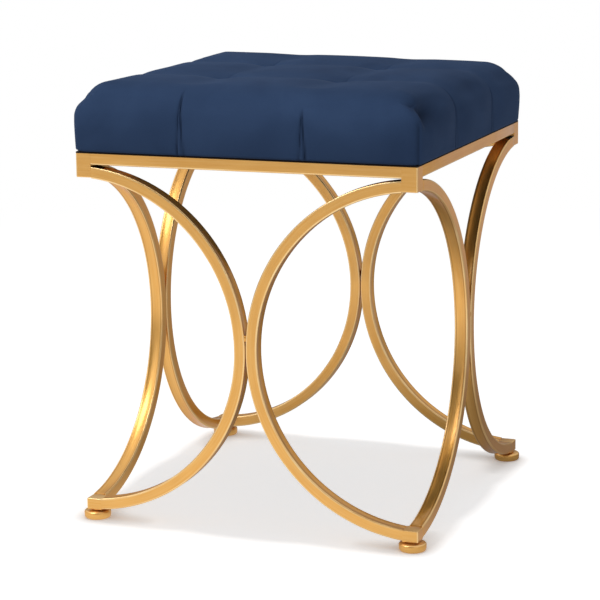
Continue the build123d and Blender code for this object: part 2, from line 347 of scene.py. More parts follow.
@dataclass(frozen=True)
class BirchPly:
    """Birch plywood, rotary cut and pressed: pale faces with long grain, and layered edges."""

    pale: str = "#D8BC92"
    dark: str = "#B8926A"
    ply: float = 1.4 * MM
    grain_width: float = 4 * MM
    grain_length: float = 120 * MM
    grain_depth: float = 0.1 * MM

    def material(self) -> bpy.types.Material:
        """Builds the plywood."""
        material, tree = new_tree("birch_plywood")
        long = self.grain_length
        grain = add_node(tree, "TexNoise", {
            "Scale": 1.0, "Detail": 4.0, "Distortion": 0.4,
            "Vector": pattern_vector(tree, Lay.AXES, (long, self.grain_width, self.ply))})
        layers = add_node(tree, "TexWave", {
            "bands_direction": "Z", "Scale": 1.0, "Distortion": 0.6,
            "Vector": pattern_vector(tree, Lay.AXES, (2 * long, 2 * long, 20 * self.ply))}).outputs["Fac"]
        both = add_node(tree, "Math", {"operation": "MULTIPLY", 0: grain, 1: layers})
        colour = add_node(tree, "Mix", {"data_type": "RGBA", 0: both, 6: linear(self.pale), 7: linear(self.dark)})
        bump = add_node(tree, "Bump", {"Strength": 0.2, "Distance": self.grain_depth, "Height": grain})
        shader = add_node(tree, "BsdfPrincipled", {"Base Color": colour, "Roughness": 0.6, "Normal": bump})
        add_node(tree, "OutputMaterial", {"Surface": shader})
        return material


@dataclass(frozen=True)
class SpunCloth:
    """Black spunbond polypropylene, bonded in a grid of small hot points: dull, with a fine dimpled sheen."""

    fibre: str = "#1A1B1D"
    bonded: str = "#2B2C2F"
    bond_pitch: float = 2.4 * MM     # drawn coarser than the real bond points
    bond_depth: float = 0.2 * MM
    fibre_length: float = 6 * MM

    def material(self) -> bpy.types.Material:
        """Builds the cloth."""
        material, tree = new_tree("black_spunbond")
        points = add_node(tree, "TexVoronoi", {
            "feature": "F1", "Scale": 1.0, "Randomness": 0.0,
            "Vector": pattern_vector(tree, Lay.AXES, (self.bond_pitch, self.bond_pitch, 1.0))}).outputs["Distance"]
        fibres = add_node(tree, "TexNoise", {
            "Scale": 1.0, "Detail": 4.0, "Distortion": 1.5,
            "Vector": pattern_vector(tree, Lay.AXES, (self.fibre_length, self.fibre_length / 4, 1.0))})
        dot = add_node(tree, "MapRange", {
            "From Min": 0.15, "From Max": 0.35, "To Min": 1.0, "To Max": 0.0, "Value": points})
        tone = add_node(tree, "Math", {"operation": "MULTIPLY", 0: dot, 1: fibres})
        colour = add_node(tree, "Mix", {"data_type": "RGBA", 0: tone, 6: linear(self.fibre), 7: linear(self.bonded)})
        bump = add_node(tree, "Bump", {"invert": True, "Strength": 0.4, "Distance": self.bond_depth, "Height": dot})
        shader = add_node(tree, "BsdfPrincipled", {
            "Base Color": colour, "Roughness": 0.8, "Sheen Weight": 0.2, "Normal": bump})
        add_node(tree, "OutputMaterial", {"Surface": shader})
        return material


@dataclass(frozen=True)
class Finishes:
    """The materials that the pieces share, each made once."""

    gold_tube: bpy.types.Material
    gold_plate: bpy.types.Material
    # painted shade for the slits and under the seat
    bare_steel: bpy.types.Material
    velvet: bpy.types.Material
    zinc: bpy.types.Material
    plywood: bpy.types.Material
    dust_cloth: bpy.types.Material

    @staticmethod
    def mixed() -> "Finishes":
        """Builds every finish."""
        return Finishes(GoldPaint(Lay.ALONG).material(), GoldPaint(Lay.AXES).material(), BareSteel().material(),
                        NavyVelvet().material(), ZincPlate().material(), BirchPly().material(),
                        SpunCloth().material())


def bell(distance: np.ndarray, width: float) -> np.ndarray:
    """Bell curve exp(-(distance / width)^2)."""
    return np.exp(-((distance / width) ** 2))


def held(value: np.ndarray) -> np.ndarray:
    """The values, kept from 0 to 1."""
    return np.clip(value, 0, 1)


def border(grid: np.ndarray) -> np.ndarray:
    """Values round the border of a square grid, as one closed loop."""
    return np.concatenate([grid[:-1, 0], grid[-1, :-1], grid[:0:-1, -1], grid[0, :0:-1]])


def quarter_rounds(steps: int) -> tuple[np.ndarray, np.ndarray, np.ndarray]:
    """The four corners of a rectangle as unit quarter circles.

    Args:
        steps: how many points each has.

    Returns:
        Signs of each corner's place, the points, and the unit tangents there.
    """
    start = np.arange(4) * np.pi / 2
    turn = start[:, None] + np.linspace(0, np.pi / 2, steps)
    signs = np.sign(np.stack([np.cos(start + np.pi / 4), np.sin(start + np.pi / 4)], axis=-1))
    points = np.stack([np.cos(turn), np.sin(turn)], axis=-1)
    return signs, points, np.stack([-points[..., 1], points[..., 0]], axis=-1)


def supported(arcs: np.ndarray, way: np.ndarray) -> np.ndarray:
    """Arcs with one more point before and after each, a step along the tangent away."""
    return np.concatenate([arcs[:, :1] - way[:, :1], arcs, arcs[:, -1:] + way[:, -1:]], axis=1)


def grid_quads(rows: int, columns: int, wrap_rows: bool = False, wrap_columns: bool = False) -> np.ndarray:
    """Faces of a grid of points numbered row by row.

    Args:
        rows: how many rows.
        columns: how many points in a row.
        wrap_rows: whether the last row joins the first.
        wrap_columns: whether the last column joins the first.

    Returns:
        Four point numbers for each face.
    """
    r, c = np.meshgrid(np.arange(rows - (not wrap_rows)), np.arange(columns - (not wrap_columns)), indexing="ij")
    r_next, c_next = (r + 1) % rows, (c + 1) % columns
    corners = (r * columns + c, r * columns + c_next, r_next * columns + c_next, r_next * columns + c)
    return np.stack(corners, axis=-1).reshape(-1, 4)


@dataclass
class Surface:
    """A closed mesh in the making: points, faces of several sizes, values at the points, and points of painted shade.

    A face most of whose points are in painted shade takes the second material, which paints shade.
    """

    points: np.ndarray
    faces: list[np.ndarray]
    values: dict[str, np.ndarray] = field(default_factory=dict)
    # points where shade is painted
    bare: np.ndarray | None = None

    def volume(self) -> float:
        """Volume inside, negative when the faces point inwards: a sum of fans from the origin."""
        total = 0.0
        for block in self.faces:
            p = self.points[block]
            for j in range(1, block.shape[1] - 1):
                total += np.einsum("ij,ij->", p[:, 0], np.cross(p[:, j], p[:, j + 1])) / 6
        return float(total)

    def copies(self, shifts: np.ndarray) -> "Surface":
        """The same mesh several times over, moved by each row of shifts."""
        count = len(self.points)
        points = (self.points[None] + shifts[:, None]).reshape(-1, 3)
        step = np.arange(len(shifts))[:, None, None] * count
        faces = [(block[None] + step).reshape(-1, block.shape[1]) for block in self.faces]
        values = {name: np.concatenate([v] * len(shifts)) for name, v in self.values.items()}
        return Surface(points, faces, values)

    def build(self, name: str, *materials: bpy.types.Material, sharp_degrees: float = 40.0) -> bpy.types.Object:
        """Makes the Blender object, with its faces outwards.

        Args:
            name: the piece's name.
            materials: its finish, and the painted shade for its shaded faces.
            sharp_degrees: edges that turn more than this stay sharp.

        Returns:
            The new object, at the origin.
        """
        turned = self.volume() < 0
        lists = [(block[:, ::-1] if turned else block).tolist() for block in self.faces]
        mesh = bpy.data.meshes.new(name)
        mesh.from_pydata(self.points.tolist(), [], [f for block in lists for f in block])
        for key, value in self.values.items():
            kind, slot = ("FLOAT_VECTOR", "vector") if value.ndim == 2 else ("FLOAT", "value")
            mesh.attributes.new(key, kind, "POINT").data.foreach_set(slot, value.astype(np.float32).ravel())
        mesh.polygons.foreach_set("use_smooth", np.ones(len(mesh.polygons), bool))
        mesh.set_sharp_from_angle(angle=math.radians(sharp_degrees))
        for material in materials:
            mesh.materials.append(material)
        if self.bare is not None:
            kinds = np.concatenate([self.bare[block].mean(axis=1) > 0.5 for block in self.faces])
            mesh.polygons.foreach_set("material_index", kinds.astype(np.int32))
        thing = bpy.data.objects.new(name, mesh)
        bpy.context.scene.collection.objects.link(thing)
        return thing


def ringed(rings: np.ndarray) -> Surface:
    """A skin through a stack of closed rings, with a flat face over the first and over the last.

    Args:
        rings: points by ring and by column.

    Returns:
        The closed surface.
    """
    count, columns = rings.shape[:2]
    first = np.arange(columns)[None, ::-1]
    last = ((count - 1) * columns + np.arange(columns))[None]
    return Surface(rings.reshape(-1, 3), [grid_quads(count, columns, wrap_columns=True), first, last])


def revolved(profile: np.ndarray, axis: tuple[float, float], columns: int) -> Surface:
    """A profile turned round an upright axis: x = r cos(a), y = r sin(a), z = z.

    Args:
        profile: radius and height of each point, from one cap to the other.
        axis: x and y of the axis.
        columns: how many steps round.

    Returns:
        The closed surface.
    """
    turn = np.linspace(0, 2 * np.pi, columns, endpoint=False)
    radius, height = profile[:, :1], profile[:, 1:]
    x = axis[0] + radius * np.cos(turn)
    y = axis[1] + radius * np.sin(turn)
    return ringed(np.stack([x, y, np.broadcast_to(height, x.shape)], axis=-1))


def ride_as(piece: bpy.types.Object, body: str, slot: str, *nodes: str) -> None:
    """Puts a finished piece on its body, in place of CAD nodes, and reports it.

    Args:
        piece: the Blender object.
        body: the CAD body that carries it.
        slot: the record's material slot; not used.
        nodes: the CAD nodes that it stands for.
    """
    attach(piece, body)
    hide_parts(*nodes)
    LOG.info("%s: %d faces on %s, for %s", piece.name, len(piece.data.polygons), body, ", ".join(nodes))


def dress_node(node: bpy.types.Object, material: bpy.types.Material) -> None:
    """Gives a CAD node that stays in view its finish."""
    node.data.materials.clear()
    node.data.materials.append(material)
    LOG.info("%s: CAD node in %s", node.name, material.name)


@dataclass(frozen=True)
class TubeStock:
    """Rectangular steel tube with rolled corners.

    The outline is a rounded rectangle: four quarter circles, each with a support point before and after it, and the
    flats between them. Where the tube is bent, its inner and outer walls sag: their flats draw in by
    dish times 4 t (1 - t).
    """

    depth: float
    height: float
    wall: float = 1.2 * MM
    corner: float = 1.5 * MM
    least_corner: float = 0.2 * MM   # inside the tube
    support: float = 0.5 * MM
    bevel: float = 0.08 * MM         # at the eased ends
    dish: float = 0.0
    steps: int = 6
    flat_steps: int = 7

    def outline(self, inset: float) -> np.ndarray:
        """Points of the outline, taken in by an inset.

        Args:
            inset: how far in from the outside.

        Returns:
            Depth and height of each point.
        """
        radius = max(self.corner - inset, self.least_corner)
        signs, rounds, way = quarter_rounds(self.steps)
        centre = signs * (np.array([self.depth, self.height]) / 2 - inset - radius)
        run = supported(centre[:, None] + radius * rounds, way * self.support)
        t = np.linspace(0, 1, self.flat_steps + 2)[1:-1, None]
        flats = run[:, -1:] + (np.roll(run, -1, axis=0)[:, :1] - run[:, -1:]) * t
        sag = self.dish * 4 * t[:, 0] * (1 - t[:, 0])
        flats[:, :, 1] -= np.array([1, 0, -1, 0])[:, None] * sag
        return np.concatenate([run, flats], axis=1).reshape(-1, 2)

    def edge(self) -> np.ndarray:
        """For each point of the outline: 1 on rolled corners, -1 just inside the edges of sagging walls, else 0.

        The ones take scuffing and a painted highlight, the minus ones painted shade.
        """
        flags = np.pad(np.ones((4, self.steps)), ((0, 0), (1, 1 + self.flat_steps)))
        if self.dish:
            flags[[0, 2], self.steps + 1] = -1
            flags[[1, 3], 0] = -1
        return flags.reshape(-1)

    def rows(self, steps: int, ease: float) -> tuple[np.ndarray, np.ndarray, np.ndarray]:
        """Rows of a tube with walls: along the outside, over the eased end, back along the inside.

        Args:
            steps: rows along the outside.
            ease: how much of the half length each eased end takes up.

        Returns:
            Station from -1 to 1 of each row, its outline, and its edge values: scuffing and painted highlight, painted
            shade.
        """
        outside = np.concatenate([[-1.0], np.linspace(ease - 1, 1 - ease, steps), [1.0]])
        inside = np.linspace(1, -1, max(steps // 3, 2))
        plain, eased, inner = self.outline(0.0), self.outline(self.bevel), self.outline(self.wall)
        outline = np.concatenate([eased[None], np.repeat(plain[None], steps, axis=0), eased[None],
                                  np.repeat(inner[None], len(inside), axis=0)])
        edge = np.repeat(self.edge()[None], len(outline), axis=0)
        return np.concatenate([outside, inside])[:, None], outline, edge


@dataclass
class TubeFrame:
    """The welded gold frame: rails, arcs, corner posts, foot blocks, weld beads and gussets."""

    finish: Finishes
    arc_steps: int = 97
    rail_steps: int = 5
    ease_length: float = 0.3 * MM    # end of a tube that the weld's grinding has eased
    post_corner: float = 1.0 * MM
    weld_corner: float = 0.1 * MM   # hairline where a post meets a tube
    wall_sag: float = 0.7 * MM      # of a tube's inner and outer walls where it is bent
    slit_height: float = 4.5 * MM   # shade is painted into slits lower than this
    hole_radius: float = 3.05 * MM
    hole_roof: float = 2.0 * MM
    bead_overlap: float = 1.1 * MM
    bead_depth: float = 6.0 * MM
    bead_proud: float = 0.1 * MM     # how far a bead stands out of its groove
    bead_net: tuple[int, int] = (24, 17)   # steps round a bead and along it
    bead_turn: float = 1.45          # radians from its middle to its ends
    ripple_height: float = 0.08      # share of the bead's width
    ripple_rate: float = 9.0         # radians of a ripple to one of the bead

    def __post_init__(self) -> None:
        """Reads the frame's sizes from the CAD boxes."""
        low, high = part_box("rail_front")
        self.half = -low.y
        self.run_half = high.x
        self.rail_middle = (low.z + high.z) / 2
        self.depth = high.y - low.y
        self.rail = TubeStock(self.depth, high.z - low.z)
        low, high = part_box("arc_front_left")
        self.arc_outer = self.half + high.x
        self.arc_middle = (low.z + high.z) / 2
        low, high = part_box("foot_block_front_left")
        self.arc = TubeStock(self.depth, high.z - low.z, dish=self.wall_sag)

    def build(self) -> None:
        """Builds and dresses every piece of the frame."""
        for side in Side:
            self.build_rail(side)
            self.build_bead(side)
            for end in (-1, 1):
                self.build_arc(side, end)
        for corner in Corner:
            self.build_post(corner)
            self.build_block(corner)
            dress_node(bpy.data.objects[f"gusset_{corner.label}"], self.finish.gold_plate)

    def finish_tube(self, name: str, points: np.ndarray, lay: np.ndarray, edge: np.ndarray, bare: np.ndarray) -> None:
        """Joins rows into a tube that is closed both ways and puts it in the frame.

        Args:
            name: the piece's name, which is its CAD node's with "tube_" before it.
            points: by row and by column.
            lay: the same points with the tube straightened out.
            edge: edge values: scuffing and painted highlight, and painted shade.
            bare: true where shade is painted, in slits over the crests and under the seat.
        """
        rows, columns = edge.shape
        quads = grid_quads(rows, columns, wrap_rows=True, wrap_columns=True)
        values = {"lay": lay.reshape(-1, 3), "edge": edge.reshape(-1)}
        surface = Surface(points.reshape(-1, 3), [quads], values, bare.reshape(-1))
        tube = surface.build("tube_" + name, self.finish.gold_tube, self.finish.bare_steel)
        ride_as(tube, "stool", "gold_paint", name)

    def under_seat(self, rise: np.ndarray) -> np.ndarray:
        """Whether points that high over the rails' middle lie in the shadow under the seat, which is painted on them.
        """
        return rise > self.rail.height / 2 - self.rail.corner - 1.1 * self.rail.support

    def build_rail(self, side: Side) -> None:
        """A straight rail: the outline carried along the side."""
        station, outline, edge = self.rail.rows(self.rail_steps, self.ease_length / self.run_half)
        along = station * self.run_half
        outward = self.half - self.depth / 2 + outline[..., 0]
        points = side.place(along, outward, self.rail_middle + outline[..., 1])
        lay = np.stack(np.broadcast_arrays(along, outline[..., 0], outline[..., 1]), axis=-1)
        self.finish_tube(f"rail_{side.label}", points, lay, edge, self.under_seat(outline[..., 1]))

    def build_arc(self, side: Side, end: int) -> None:
        """A half round: the outline carried round the corner line.

        A point of the outline at radius r turns by t times acos(lip / r), for t from -1 to 1, so that both ends lie
        in the upright plane where post and block begin.

        Args:
            side: the side it stands in.
            end: -1 for the arc at the side's start, 1 for the one at its end.
        """
        middle = self.arc_outer - self.arc.height / 2
        lip = self.half - self.run_half
        half_length = middle * math.acos(lip / middle)
        station, outline, edge = self.arc.rows(self.arc_steps, self.ease_length / half_length)
        radius = middle + outline[..., 1]
        turn = station * np.arccos(lip / radius)
        along = end * (self.half - radius * np.cos(turn))
        outward = self.half - self.depth / 2 + outline[..., 0]
        rise = self.arc_middle + radius * np.sin(turn)
        points = side.place(along, outward, rise)
        lay = np.stack(np.broadcast_arrays(station * half_length, outline[..., 0], outline[..., 1]), axis=-1)
        # crest faces in a low slit under the rail get painted shade
        slit = self.rail_middle - self.rail.height / 2 - rise
        crest = outline[..., 1] > self.arc.height / 2 - self.wall_sag - 0.2 * self.arc.corner
        self.finish_tube(f"arc_{side.label}_{side.neighbour(end).label}", points, lay, edge,
                         crest & (slit < self.slit_height))

    def corner_rings(self, corner: Corner, low: float, high: float) -> tuple[np.ndarray, np.ndarray]:
        """Rings of a square block whose outer edges are rounded and whose welded edges are not.

        Each ring is a rectangle with its own radius at each corner. Near the bottom and the top the two outer sides
        draw in by r (1 - sin t) at a height of r (1 - cos t).

        Args:
            corner: the corner it stands at.
            low: height of its underside.
            high: height of its top.

        Returns:
            The rings, and their edge values for scuffing and a painted highlight.
        """
        box_low, box_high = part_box(f"corner_post_{corner.label}")
        middle = np.array([(box_low.x + box_high.x) / 2, (box_low.y + box_high.y) / 2])
        side = box_high.x - box_low.x
        bend = np.linspace(0, np.pi / 2, self.rail.steps)
        drawn = self.post_corner * (1 - np.sin(bend))
        rise = self.post_corner * (1 - np.cos(bend))
        margin = self.rail.corner + self.rail.support
        inset = np.concatenate([drawn, [0.0, 0.0], drawn[::-1]])
        height = np.concatenate([low + rise, [low + margin, high - margin], high - rise[::-1]])

        signs, rounds, way = quarter_rounds(len(bend))
        radius = np.array([self.post_corner, self.weld_corner, self.weld_corner, self.weld_corner])
        outer = np.where(signs > 0, 1.0, 0.0)
        bound = signs * (side / 2 - outer * inset[:, None, None])
        centre = bound - signs * radius[:, None]
        round_off = supported(radius[:, None, None] * rounds, way * self.rail.support)
        flat = (centre[:, :, None] + round_off).reshape(len(inset), -1, 2)
        plan = middle + flat * np.array(corner.value)
        rounded = np.pad(np.repeat((radius == self.post_corner)[:, None], len(bend), axis=1), ((0, 0), (1, 1)))
        edge = np.maximum((inset > 0)[:, None], rounded.reshape(1, -1))
        up = np.broadcast_to(height[:, None], plan.shape[:2])
        return np.concatenate([plan, up[..., None]], axis=-1), edge.astype(float)

    def finish_block(self, name: str, rings: np.ndarray, edge: np.ndarray) -> None:
        """Closes a stack of rings and puts it in the frame in place of its CAD node."""
        surface = ringed(rings)
        surface.values = {"lay": surface.points, "edge": edge.reshape(-1)}
        # faces in the shadow under the seat get painted shade
        surface.bare = self.under_seat(surface.points[:, 2] - self.rail_middle)
        block = surface.build("solid_" + name, self.finish.gold_tube, self.finish.bare_steel)
        ride_as(block, "stool", "gold_paint", name)

    def build_post(self, corner: Corner) -> None:
        """The square post that joins two rails and two arcs at a top corner."""
        name = f"corner_post_{corner.label}"
        low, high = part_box(name)
        self.finish_block(name, *self.corner_rings(corner, low.z, high.z))

    def build_block(self, corner: Corner) -> None:
        """The block at a lower corner, with the blind threaded hole of the glide's stud."""
        name = f"foot_block_{corner.label}"
        low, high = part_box(name)
        rings, edge = self.corner_rings(corner, low.z, high.z)
        middle = rings[0].mean(axis=0)
        turn = np.arctan2(rings[0, :, 1] - middle[1], rings[0, :, 0] - middle[0])
        hole = np.stack([middle[0] + self.hole_radius * np.cos(turn), middle[1] + self.hole_radius * np.sin(turn),
                         np.full_like(turn, low.z)], axis=-1)
        roof = hole + np.array([0, 0, high.z - low.z - self.hole_roof])
        # the hole's two rings take no painted edge highlight or shade
        bare = np.zeros((2, len(turn)))
        self.finish_block(name, np.concatenate([roof[None], hole[None], rings]), np.concatenate([bare, edge]))

    def build_bead(self, side: Side) -> None:
        """A weld bead in the groove between two arcs.

        A rounded lozenge: x = w cos(a)|cos(b)|, y = -d sin(a)|cos(b)|, z = h sin(b), with ripples along its height,
        as wide as the groove at its height and a little over.
        """
        name = f"weld_bead_{side.label}"
        low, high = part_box(name)
        middle = (low.z + high.z) / 2
        tall = (high.z - low.z) / 2 + self.bead_overlap
        a = np.linspace(0, 2 * np.pi, self.bead_net[0], endpoint=False)
        b = np.linspace(-self.bead_turn, self.bead_turn, self.bead_net[1])[:, None]
        rise = middle + tall * np.sin(b)
        groove = self.half - np.sqrt(self.arc_outer**2 - (rise - self.arc_middle) ** 2)
        ripple = 1 + self.ripple_height * np.sin(self.ripple_rate * b)
        along = (groove + self.bead_overlap) * np.cos(a) * np.cos(b) * ripple
        inwards = self.bead_depth / 2 * (1 + np.sin(a) * np.cos(b) ** 0.5) - self.bead_proud
        points = side.place(along, self.half - inwards, np.broadcast_to(rise, along.shape))
        surface = ringed(points)
        surface.values = {"lay": surface.points, "edge": np.zeros(len(surface.points))}
        bead = surface.build("fill_" + name, self.finish.gold_tube)
        ride_as(bead, "stool", "gold_paint", name)


@dataclass
class Glides:
    """The four levelling glides: a turned disc on a threaded stud."""

    finish: Finishes
    foot_radius: float = 12.5 * MM
    rim_height: float = 3.6 * MM
    disc_height: float = 8.4 * MM
    bevel: float = 1.4 * MM
    soft: float = 0.35 * MM          # eased edges of the turning
    neck_radius: float = 5.0 * MM
    socket_radius: float = 3.05 * MM
    pitch: float = 1.0 * MM
    thread_depth: float = 0.55 * MM
    foot_steps: int = 9
    disc_columns: int = 72
    stud_columns: int = 32
    rows_to_turn: int = 8            # of the thread

    def build(self) -> None:
        """Builds and dresses disc and stud at each corner."""
        for corner in Corner:
            self.build_disc(corner)
            self.build_stud(corner)

    def build_disc(self, corner: Corner) -> None:
        """A disc with a rolled foot, a bevelled rim and a neck, its profile turned round the stud's axis."""
        name = f"glide_base_{corner.label}"
        low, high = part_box(name)
        stud_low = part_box(f"glide_stud_{corner.label}")[0]
        axis = ((low.x + high.x) / 2, (low.y + high.y) / 2)
        rim = (high.x - low.x) / 2
        roll = np.linspace(0, np.pi / 2, self.foot_steps)
        foot = np.stack([self.foot_radius + (rim - self.foot_radius) * np.sin(roll),
                         self.rim_height * (1 - np.cos(roll))], axis=-1)
        bevel_low = self.disc_height - self.bevel
        top = rim - self.bevel
        soft = self.soft
        upper = np.array([
            (rim, bevel_low - soft), (rim - 0.3 * soft, bevel_low), (rim - soft, bevel_low + soft),
            (top + soft, self.disc_height - soft), (top, self.disc_height - 0.3 * soft),
            (top - soft, self.disc_height), (self.neck_radius + soft, self.disc_height),
            (self.neck_radius, self.disc_height + soft), (self.neck_radius, high.z - soft),
            (self.neck_radius - soft, high.z), (self.socket_radius, high.z), (self.socket_radius, stud_low.z)])
        under = np.array([(self.foot_radius - 2 * soft, 0.0)])
        surface = revolved(np.concatenate([under, foot, upper]), axis, self.disc_columns)
        around = np.arctan2(surface.points[:, 1] - axis[1], surface.points[:, 0] - axis[0])
        radius = np.hypot(surface.points[:, 0] - axis[0], surface.points[:, 1] - axis[1])
        # the bevel takes the scuffed colour that doubles as a painted highlight
        edge = held(1 - abs(radius - top) / self.bevel) * (surface.points[:, 2] > self.rim_height)
        surface.values = {"lay": np.stack([around * rim, radius, surface.points[:, 2]], axis=-1), "edge": edge}
        disc = surface.build("disc_" + name, self.finish.gold_tube, sharp_degrees=50.0)
        ride_as(disc, f"glide_{corner.label}", "gold_paint", name)

    def build_stud(self, corner: Corner) -> None:
        """A threaded stud: radius r minus depth times a triangle wave of z / pitch - a / turn, on a grid of a and z."""
        name = f"glide_stud_{corner.label}"
        low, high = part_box(name)
        rows = self.rows_to_turn * int((high.z - low.z) / self.pitch) + 1
        a = np.linspace(0, 2 * np.pi, self.stud_columns, endpoint=False)
        z = np.linspace(low.z, high.z, rows)[:, None]
        wave = abs(2 * ((z / self.pitch - a / (2 * np.pi)) % 1.0) - 1)
        lead_in = held(np.minimum(z - low.z, high.z - z) / self.pitch)
        full = (high.x - low.x) / 2
        radius = full - self.thread_depth * np.maximum(wave, 1 - lead_in)
        x = (low.x + high.x) / 2 + radius * np.cos(a)
        y = (low.y + high.y) / 2 + radius * np.sin(a)
        surface = ringed(np.stack([x, y, np.broadcast_to(z, x.shape)], axis=-1))
        stud = surface.build("thread_" + name, self.finish.zinc, sharp_degrees=75.0)
        ride_as(stud, f"glide_{corner.label}", "zinc_steel", name)


@dataclass
class Fixings:
    """What holds the seat to the frame: hexagon bolts, washers, tee nuts, the board and the staples."""

    finish: Finishes
    head_across: float = 10.0 * MM
    head_height: float = 4.0 * MM
    washer_radius: float = 7.0 * MM
    shank_radius: float = 3.0 * MM
    chamfer_slope: float = 0.5
    chamfer_start: float = 0.95      # share of the flats' distance where the head's chamfer begins
    tip_chamfer: float = 0.6 * MM
    columns: int = 72

    def build(self) -> None:
        """Builds the bolts and dresses the CAD nodes that stay."""
        self.build_bolts()
        for name in ("bolt_washers", "tee_nuts", "cover_staples"):
            dress_node(bpy.data.objects[name], self.finish.zinc)
        dress_node(bpy.data.objects["seat_board"], self.finish.plywood)

    def build_bolts(self) -> None:
        """Four hexagon bolts in one piece, head down.

        The head's outline is a / cos(angle from the nearest flat), and its chamfer rises with the outline past the
        circle that touches the flats.
        """
        low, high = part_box("seat_bolts")
        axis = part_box("bolt_washers")[1].x - self.washer_radius
        turn = np.linspace(0, 2 * np.pi, self.columns, endpoint=False)
        sector = np.pi / 3
        flat = self.head_across / 2
        hexagon = flat / np.cos((turn + sector / 2) % sector - sector / 2)
        seat = low.z + self.head_height
        chamfer = self.chamfer_slope * (hexagon - self.chamfer_start * flat)
        shank = np.full_like(turn, self.shank_radius)
        circle = np.full_like(turn, self.chamfer_start * flat)
        tip = shank - self.tip_chamfer
        radius = np.stack([circle * 0.5, circle, hexagon, hexagon, shank, shank, tip])
        zero = np.zeros_like(turn)
        height = np.stack([zero + low.z, zero + low.z, low.z + chamfer, zero + seat, zero + seat,
                           zero + high.z - self.tip_chamfer, zero + high.z])
        rings = np.stack([radius * np.cos(turn), radius * np.sin(turn), height], axis=-1)
        shifts = np.array([(*corner.value, 0) for corner in Corner]) * axis
        bolts = ringed(rings).copies(shifts).build("hex_bolts", self.finish.zinc, sharp_degrees=25.0)
        ride_as(bolts, "stool", "zinc_steel", "seat_bolts")


def spline_weights(fine: np.ndarray, coarse: np.ndarray, period: float | None = None) -> np.ndarray:
    """Weights of a uniform cubic B-spline that carries values from coarse places to fine ones.

    Args:
        fine: places that need a value.
        coarse: evenly spaced places that have one.
        period: length after which the places repeat, if they do.

    Returns:
        One row of weights for each fine place, adding up to one.
    """
    gap = fine[:, None] - coarse[None, :]
    if period is not None:
        gap = (gap + period / 2) % period - period / 2
    t = abs(gap) / (coarse[1] - coarse[0])
    near = 2 / 3 - t**2 + t**3 / 2
    far = np.clip(2 - t, 0, None) ** 3 / 6
    weights = np.where(t < 1, near, far)
    return weights / weights.sum(axis=1, keepdims=True)


@dataclass
class SeatSkin:
    """A net over the seat's top and walls: square lines on top, and rows down the walls below its border.

    Attributes:
        lines: places across the seat from -1 to 1, the same both ways.
        rows: places down the walls from 0 at the top's border to 1 at the underside.
    """

    lines: np.ndarray
    rows: np.ndarray

    @property
    def count(self) -> int:
        """How many lines cross the seat."""
        return len(self.lines)

    @property
    def around(self) -> int:
        """How many points there are round the border."""
        return 4 * (self.count - 1)

    def loop_places(self) -> np.ndarray:
        """Place of each border point round the loop, which is four units long."""
        step = (self.lines[:-1] + 1) / 2
        back = (1 - self.lines[:0:-1]) / 2
        return np.concatenate([step, 1 + step, 2 + back, 3 + back])

    def flat_points(self) -> tuple[np.ndarray, np.ndarray]:
        """The net on a plain box: top points, then wall points, with sides from -1 to 1 and height from 1 to 0."""
        x, y = np.meshgrid(self.lines, self.lines, indexing="ij")
        top = np.stack([x, y, np.ones_like(x)], axis=-1)
        loop = border(top)
        walls = np.repeat(loop[None], len(self.rows) - 1, axis=0)
        walls[..., 2] = 1 - self.rows[1:, None]
        return top, walls

    def faces(self) -> np.ndarray:
        """Quads of the top and of the walls."""
        top = grid_quads(self.count, self.count)
        numbers = np.arange(self.count**2).reshape(self.count, self.count)
        below = self.count**2 + np.arange((len(self.rows) - 1) * self.around).reshape(-1, self.around)
        wall = np.concatenate([border(numbers)[None], below])
        pick = grid_quads(len(self.rows), self.around, wrap_columns=True)
        return np.concatenate([top[:, ::-1], wall.reshape(-1)[pick]])


